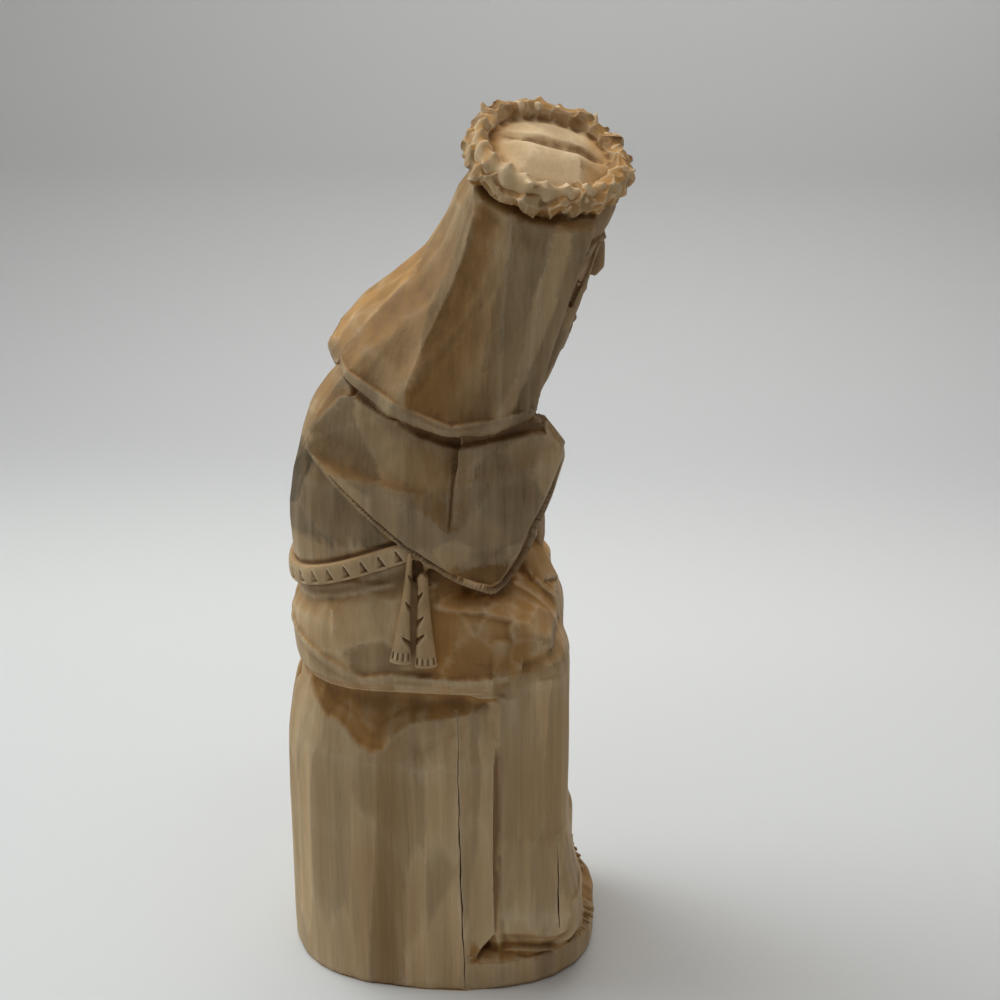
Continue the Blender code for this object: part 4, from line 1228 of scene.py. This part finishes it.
class CARVING_OT_rope(bpy.types.Operator):
    """Cuts the rope belt and its two tassels"""

    bl_idname = "carving.rope"
    bl_label = "Carve Rope Belt"

    def execute(self, context):
        sizes = context.scene.carving_sizes
        material = wood_material(
            "limewood_rope", context.scene.wood_finish, fibre=0.04, cut_tone=0.12, highlight_strength=0.6)
        belt = belt_mesh(sizes)
        mark_surface(belt, cell_tones(belt, (6.0, 6.0, 6.0), 37), np.zeros(len(belt.vertices)))
        finish_piece("rope_belt", belt, material, sharp_angle=32)
        for name, *shape in (
            ("back_tassel", (-4.4, 37.6, 150.0), (-7.7, 39.7, 114.9), 0.9, 3.4, 1, 0.5),
            ("front_tassel", (-0.9, 38.0, 143.0), (0.2, 40.0, 113.9), 1.6, 3.5, -1, -0.4),
        ):
            tassel = tassel_mesh(name, *shape)
            tones = cell_tones(tassel, (5.0, 5.0, 5.0), 43)
            mark_surface(tassel, tones, np.full(len(tassel.vertices), 0.3))
            finish_piece(name, tassel, material, sharp_angle=32)
        return {"FINISHED"}


class CARVING_OT_stage(bpy.types.Operator):
    """Sets the plain pale floor, the soft lights and the camera at the photograph's angle"""

    bl_idname = "carving.stage"
    bl_label = "Set Stage"

    def execute(self, context):
        look = context.scene.stage_look
        build_backdrop(look)
        build_lights(look)
        build_camera()
        context.scene.view_settings.view_transform = "Standard"
        return {"FINISHED"}


def build_backdrop(look):
    """A floor that turns up into a wall in one sweep: flat, a quarter circle, then upright. The
    wall stands across the camera's line of sight, and the colour darkens from the floor's to the
    wall's between 0.2 and 0.5 m behind the figure, a painted shade for the dimmer wall."""
    near, far, radius, top = -1.6, 0.44, 0.16, 0.62
    turn = np.linspace(0.0, math.pi / 2, 25)
    profile = [(near, 0.0)]
    profile += [(far + radius * math.sin(a), radius * (1 - math.cos(a))) for a in turn]
    profile.append((far + radius, top))
    across = np.array([-2.2, 2.2])
    points = np.array([(x, y, z) for x, z in profile for y in across])
    row = np.arange(len(profile) - 1)[:, None] * 2
    faces = (row + np.array([[0, 2, 3, 1]])).reshape(-1, 4)
    mesh = mesh_from("backdrop", points, faces)
    mesh.shade_smooth()
    sweep = new_object("backdrop", mesh)
    material = bpy.data.materials.new("paper")
    material.use_nodes = True
    tree = material.node_tree
    place = add_node(tree, "ShaderNodeSeparateXYZ")
    feed(tree, place, {0: add_node(tree, "ShaderNodeTexCoord").outputs["Object"]})
    # Painted shade: the paper darkens from the floor's colour to the wall's
    behind = remapped(tree, place.outputs[0], 0.2, 0.5)
    colour = mixed(tree, behind, (*look.floor_colour, 1.0), (*look.wall_shade_colour, 1.0))
    feed(tree, tree.nodes["Principled BSDF"], {
        "Base Color": colour, "Roughness": 0.7, "Specular IOR Level": 0.2,
    })
    mesh.materials.append(material)


def area_light(name, place, aim, size, colour, spread, power):
    data = bpy.data.lights.new(name, "AREA")
    data.energy = power
    data.size = size
    data.color = colour
    data.spread = math.radians(spread)
    lamp = new_object(name, data)
    lamp.location = place
    lamp.rotation_euler = (Vector(aim) - Vector(place)).to_track_quat("-Z", "Y").to_euler()


def build_lights(look):
    """A cool soft light high behind the figure's back, a broad one overhead, a narrower one on the
    wall and a weak fill from all round."""
    for name, *setup in LIGHTS:
        area_light(name, *setup, getattr(look, name + "_power"))
    world = bpy.data.worlds.new("studio")
    world.use_nodes = True
    background = world.node_tree.nodes["Background"]
    background.inputs["Color"].default_value = (0.96, 0.98, 1.0, 1.0)
    background.inputs["Strength"].default_value = look.fill
    bpy.context.scene.world = world


def build_camera():
    """The camera, at the photograph's distance, height and turn to the figure's right side."""
    target = Vector((0.0, -0.01955, 0.1647))
    turn, rise, distance = math.radians(4.0), math.radians(23.0), 0.480
    back = Vector((-math.cos(turn) * math.cos(rise), -math.sin(turn) * math.cos(rise), math.sin(rise)))
    data = bpy.data.cameras.new("camera")
    data.lens = 54.0
    data.sensor_width = 36.0
    data.clip_start = 0.01
    camera = new_object("camera", data)
    camera.location = target + back * distance
    camera.rotation_euler = (-back).to_track_quat("-Z", "Y").to_euler()
    bpy.context.scene.camera = camera


class CARVING_PT_panel(bpy.types.Panel):
    """The carving's steps and settings"""

    bl_label = "Limewood Carving"
    bl_idname = "CARVING_PT_panel"
    bl_space_type = "VIEW_3D"
    bl_region_type = "UI"
    bl_category = "Carving"

    def draw(self, context):
        layout = self.layout
        for operator in OPERATORS:
            layout.operator(operator.bl_idname)
        for group in (context.scene.carving_sizes, context.scene.wood_finish, context.scene.stage_look):
            box = layout.box()
            for name in group.__annotations__:
                box.prop(group, name)


GROUPS = (("carving_sizes", CarvingSizes), ("wood_finish", WoodFinish), ("stage_look", StageLook))
OPERATORS = (CARVING_OT_figure, CARVING_OT_wreath, CARVING_OT_rope, CARVING_OT_stage)


def register():
    for name, group in GROUPS:
        bpy.utils.register_class(group)
        setattr(bpy.types.Scene, name, PointerProperty(type=group))
    for cls in (*OPERATORS, CARVING_PT_panel):
        bpy.utils.register_class(cls)


def unregister():
    for cls in (CARVING_PT_panel, *reversed(OPERATORS)):
        bpy.utils.unregister_class(cls)
    for name, group in reversed(GROUPS):
        delattr(bpy.types.Scene, name)
        bpy.utils.unregister_class(group)


def main():
    register()
    bpy.ops.carving.figure()
    bpy.ops.carving.wreath()
    bpy.ops.carving.rope()
    bpy.ops.carving.stage()
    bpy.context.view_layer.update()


if __name__ == "__main__":
    main()
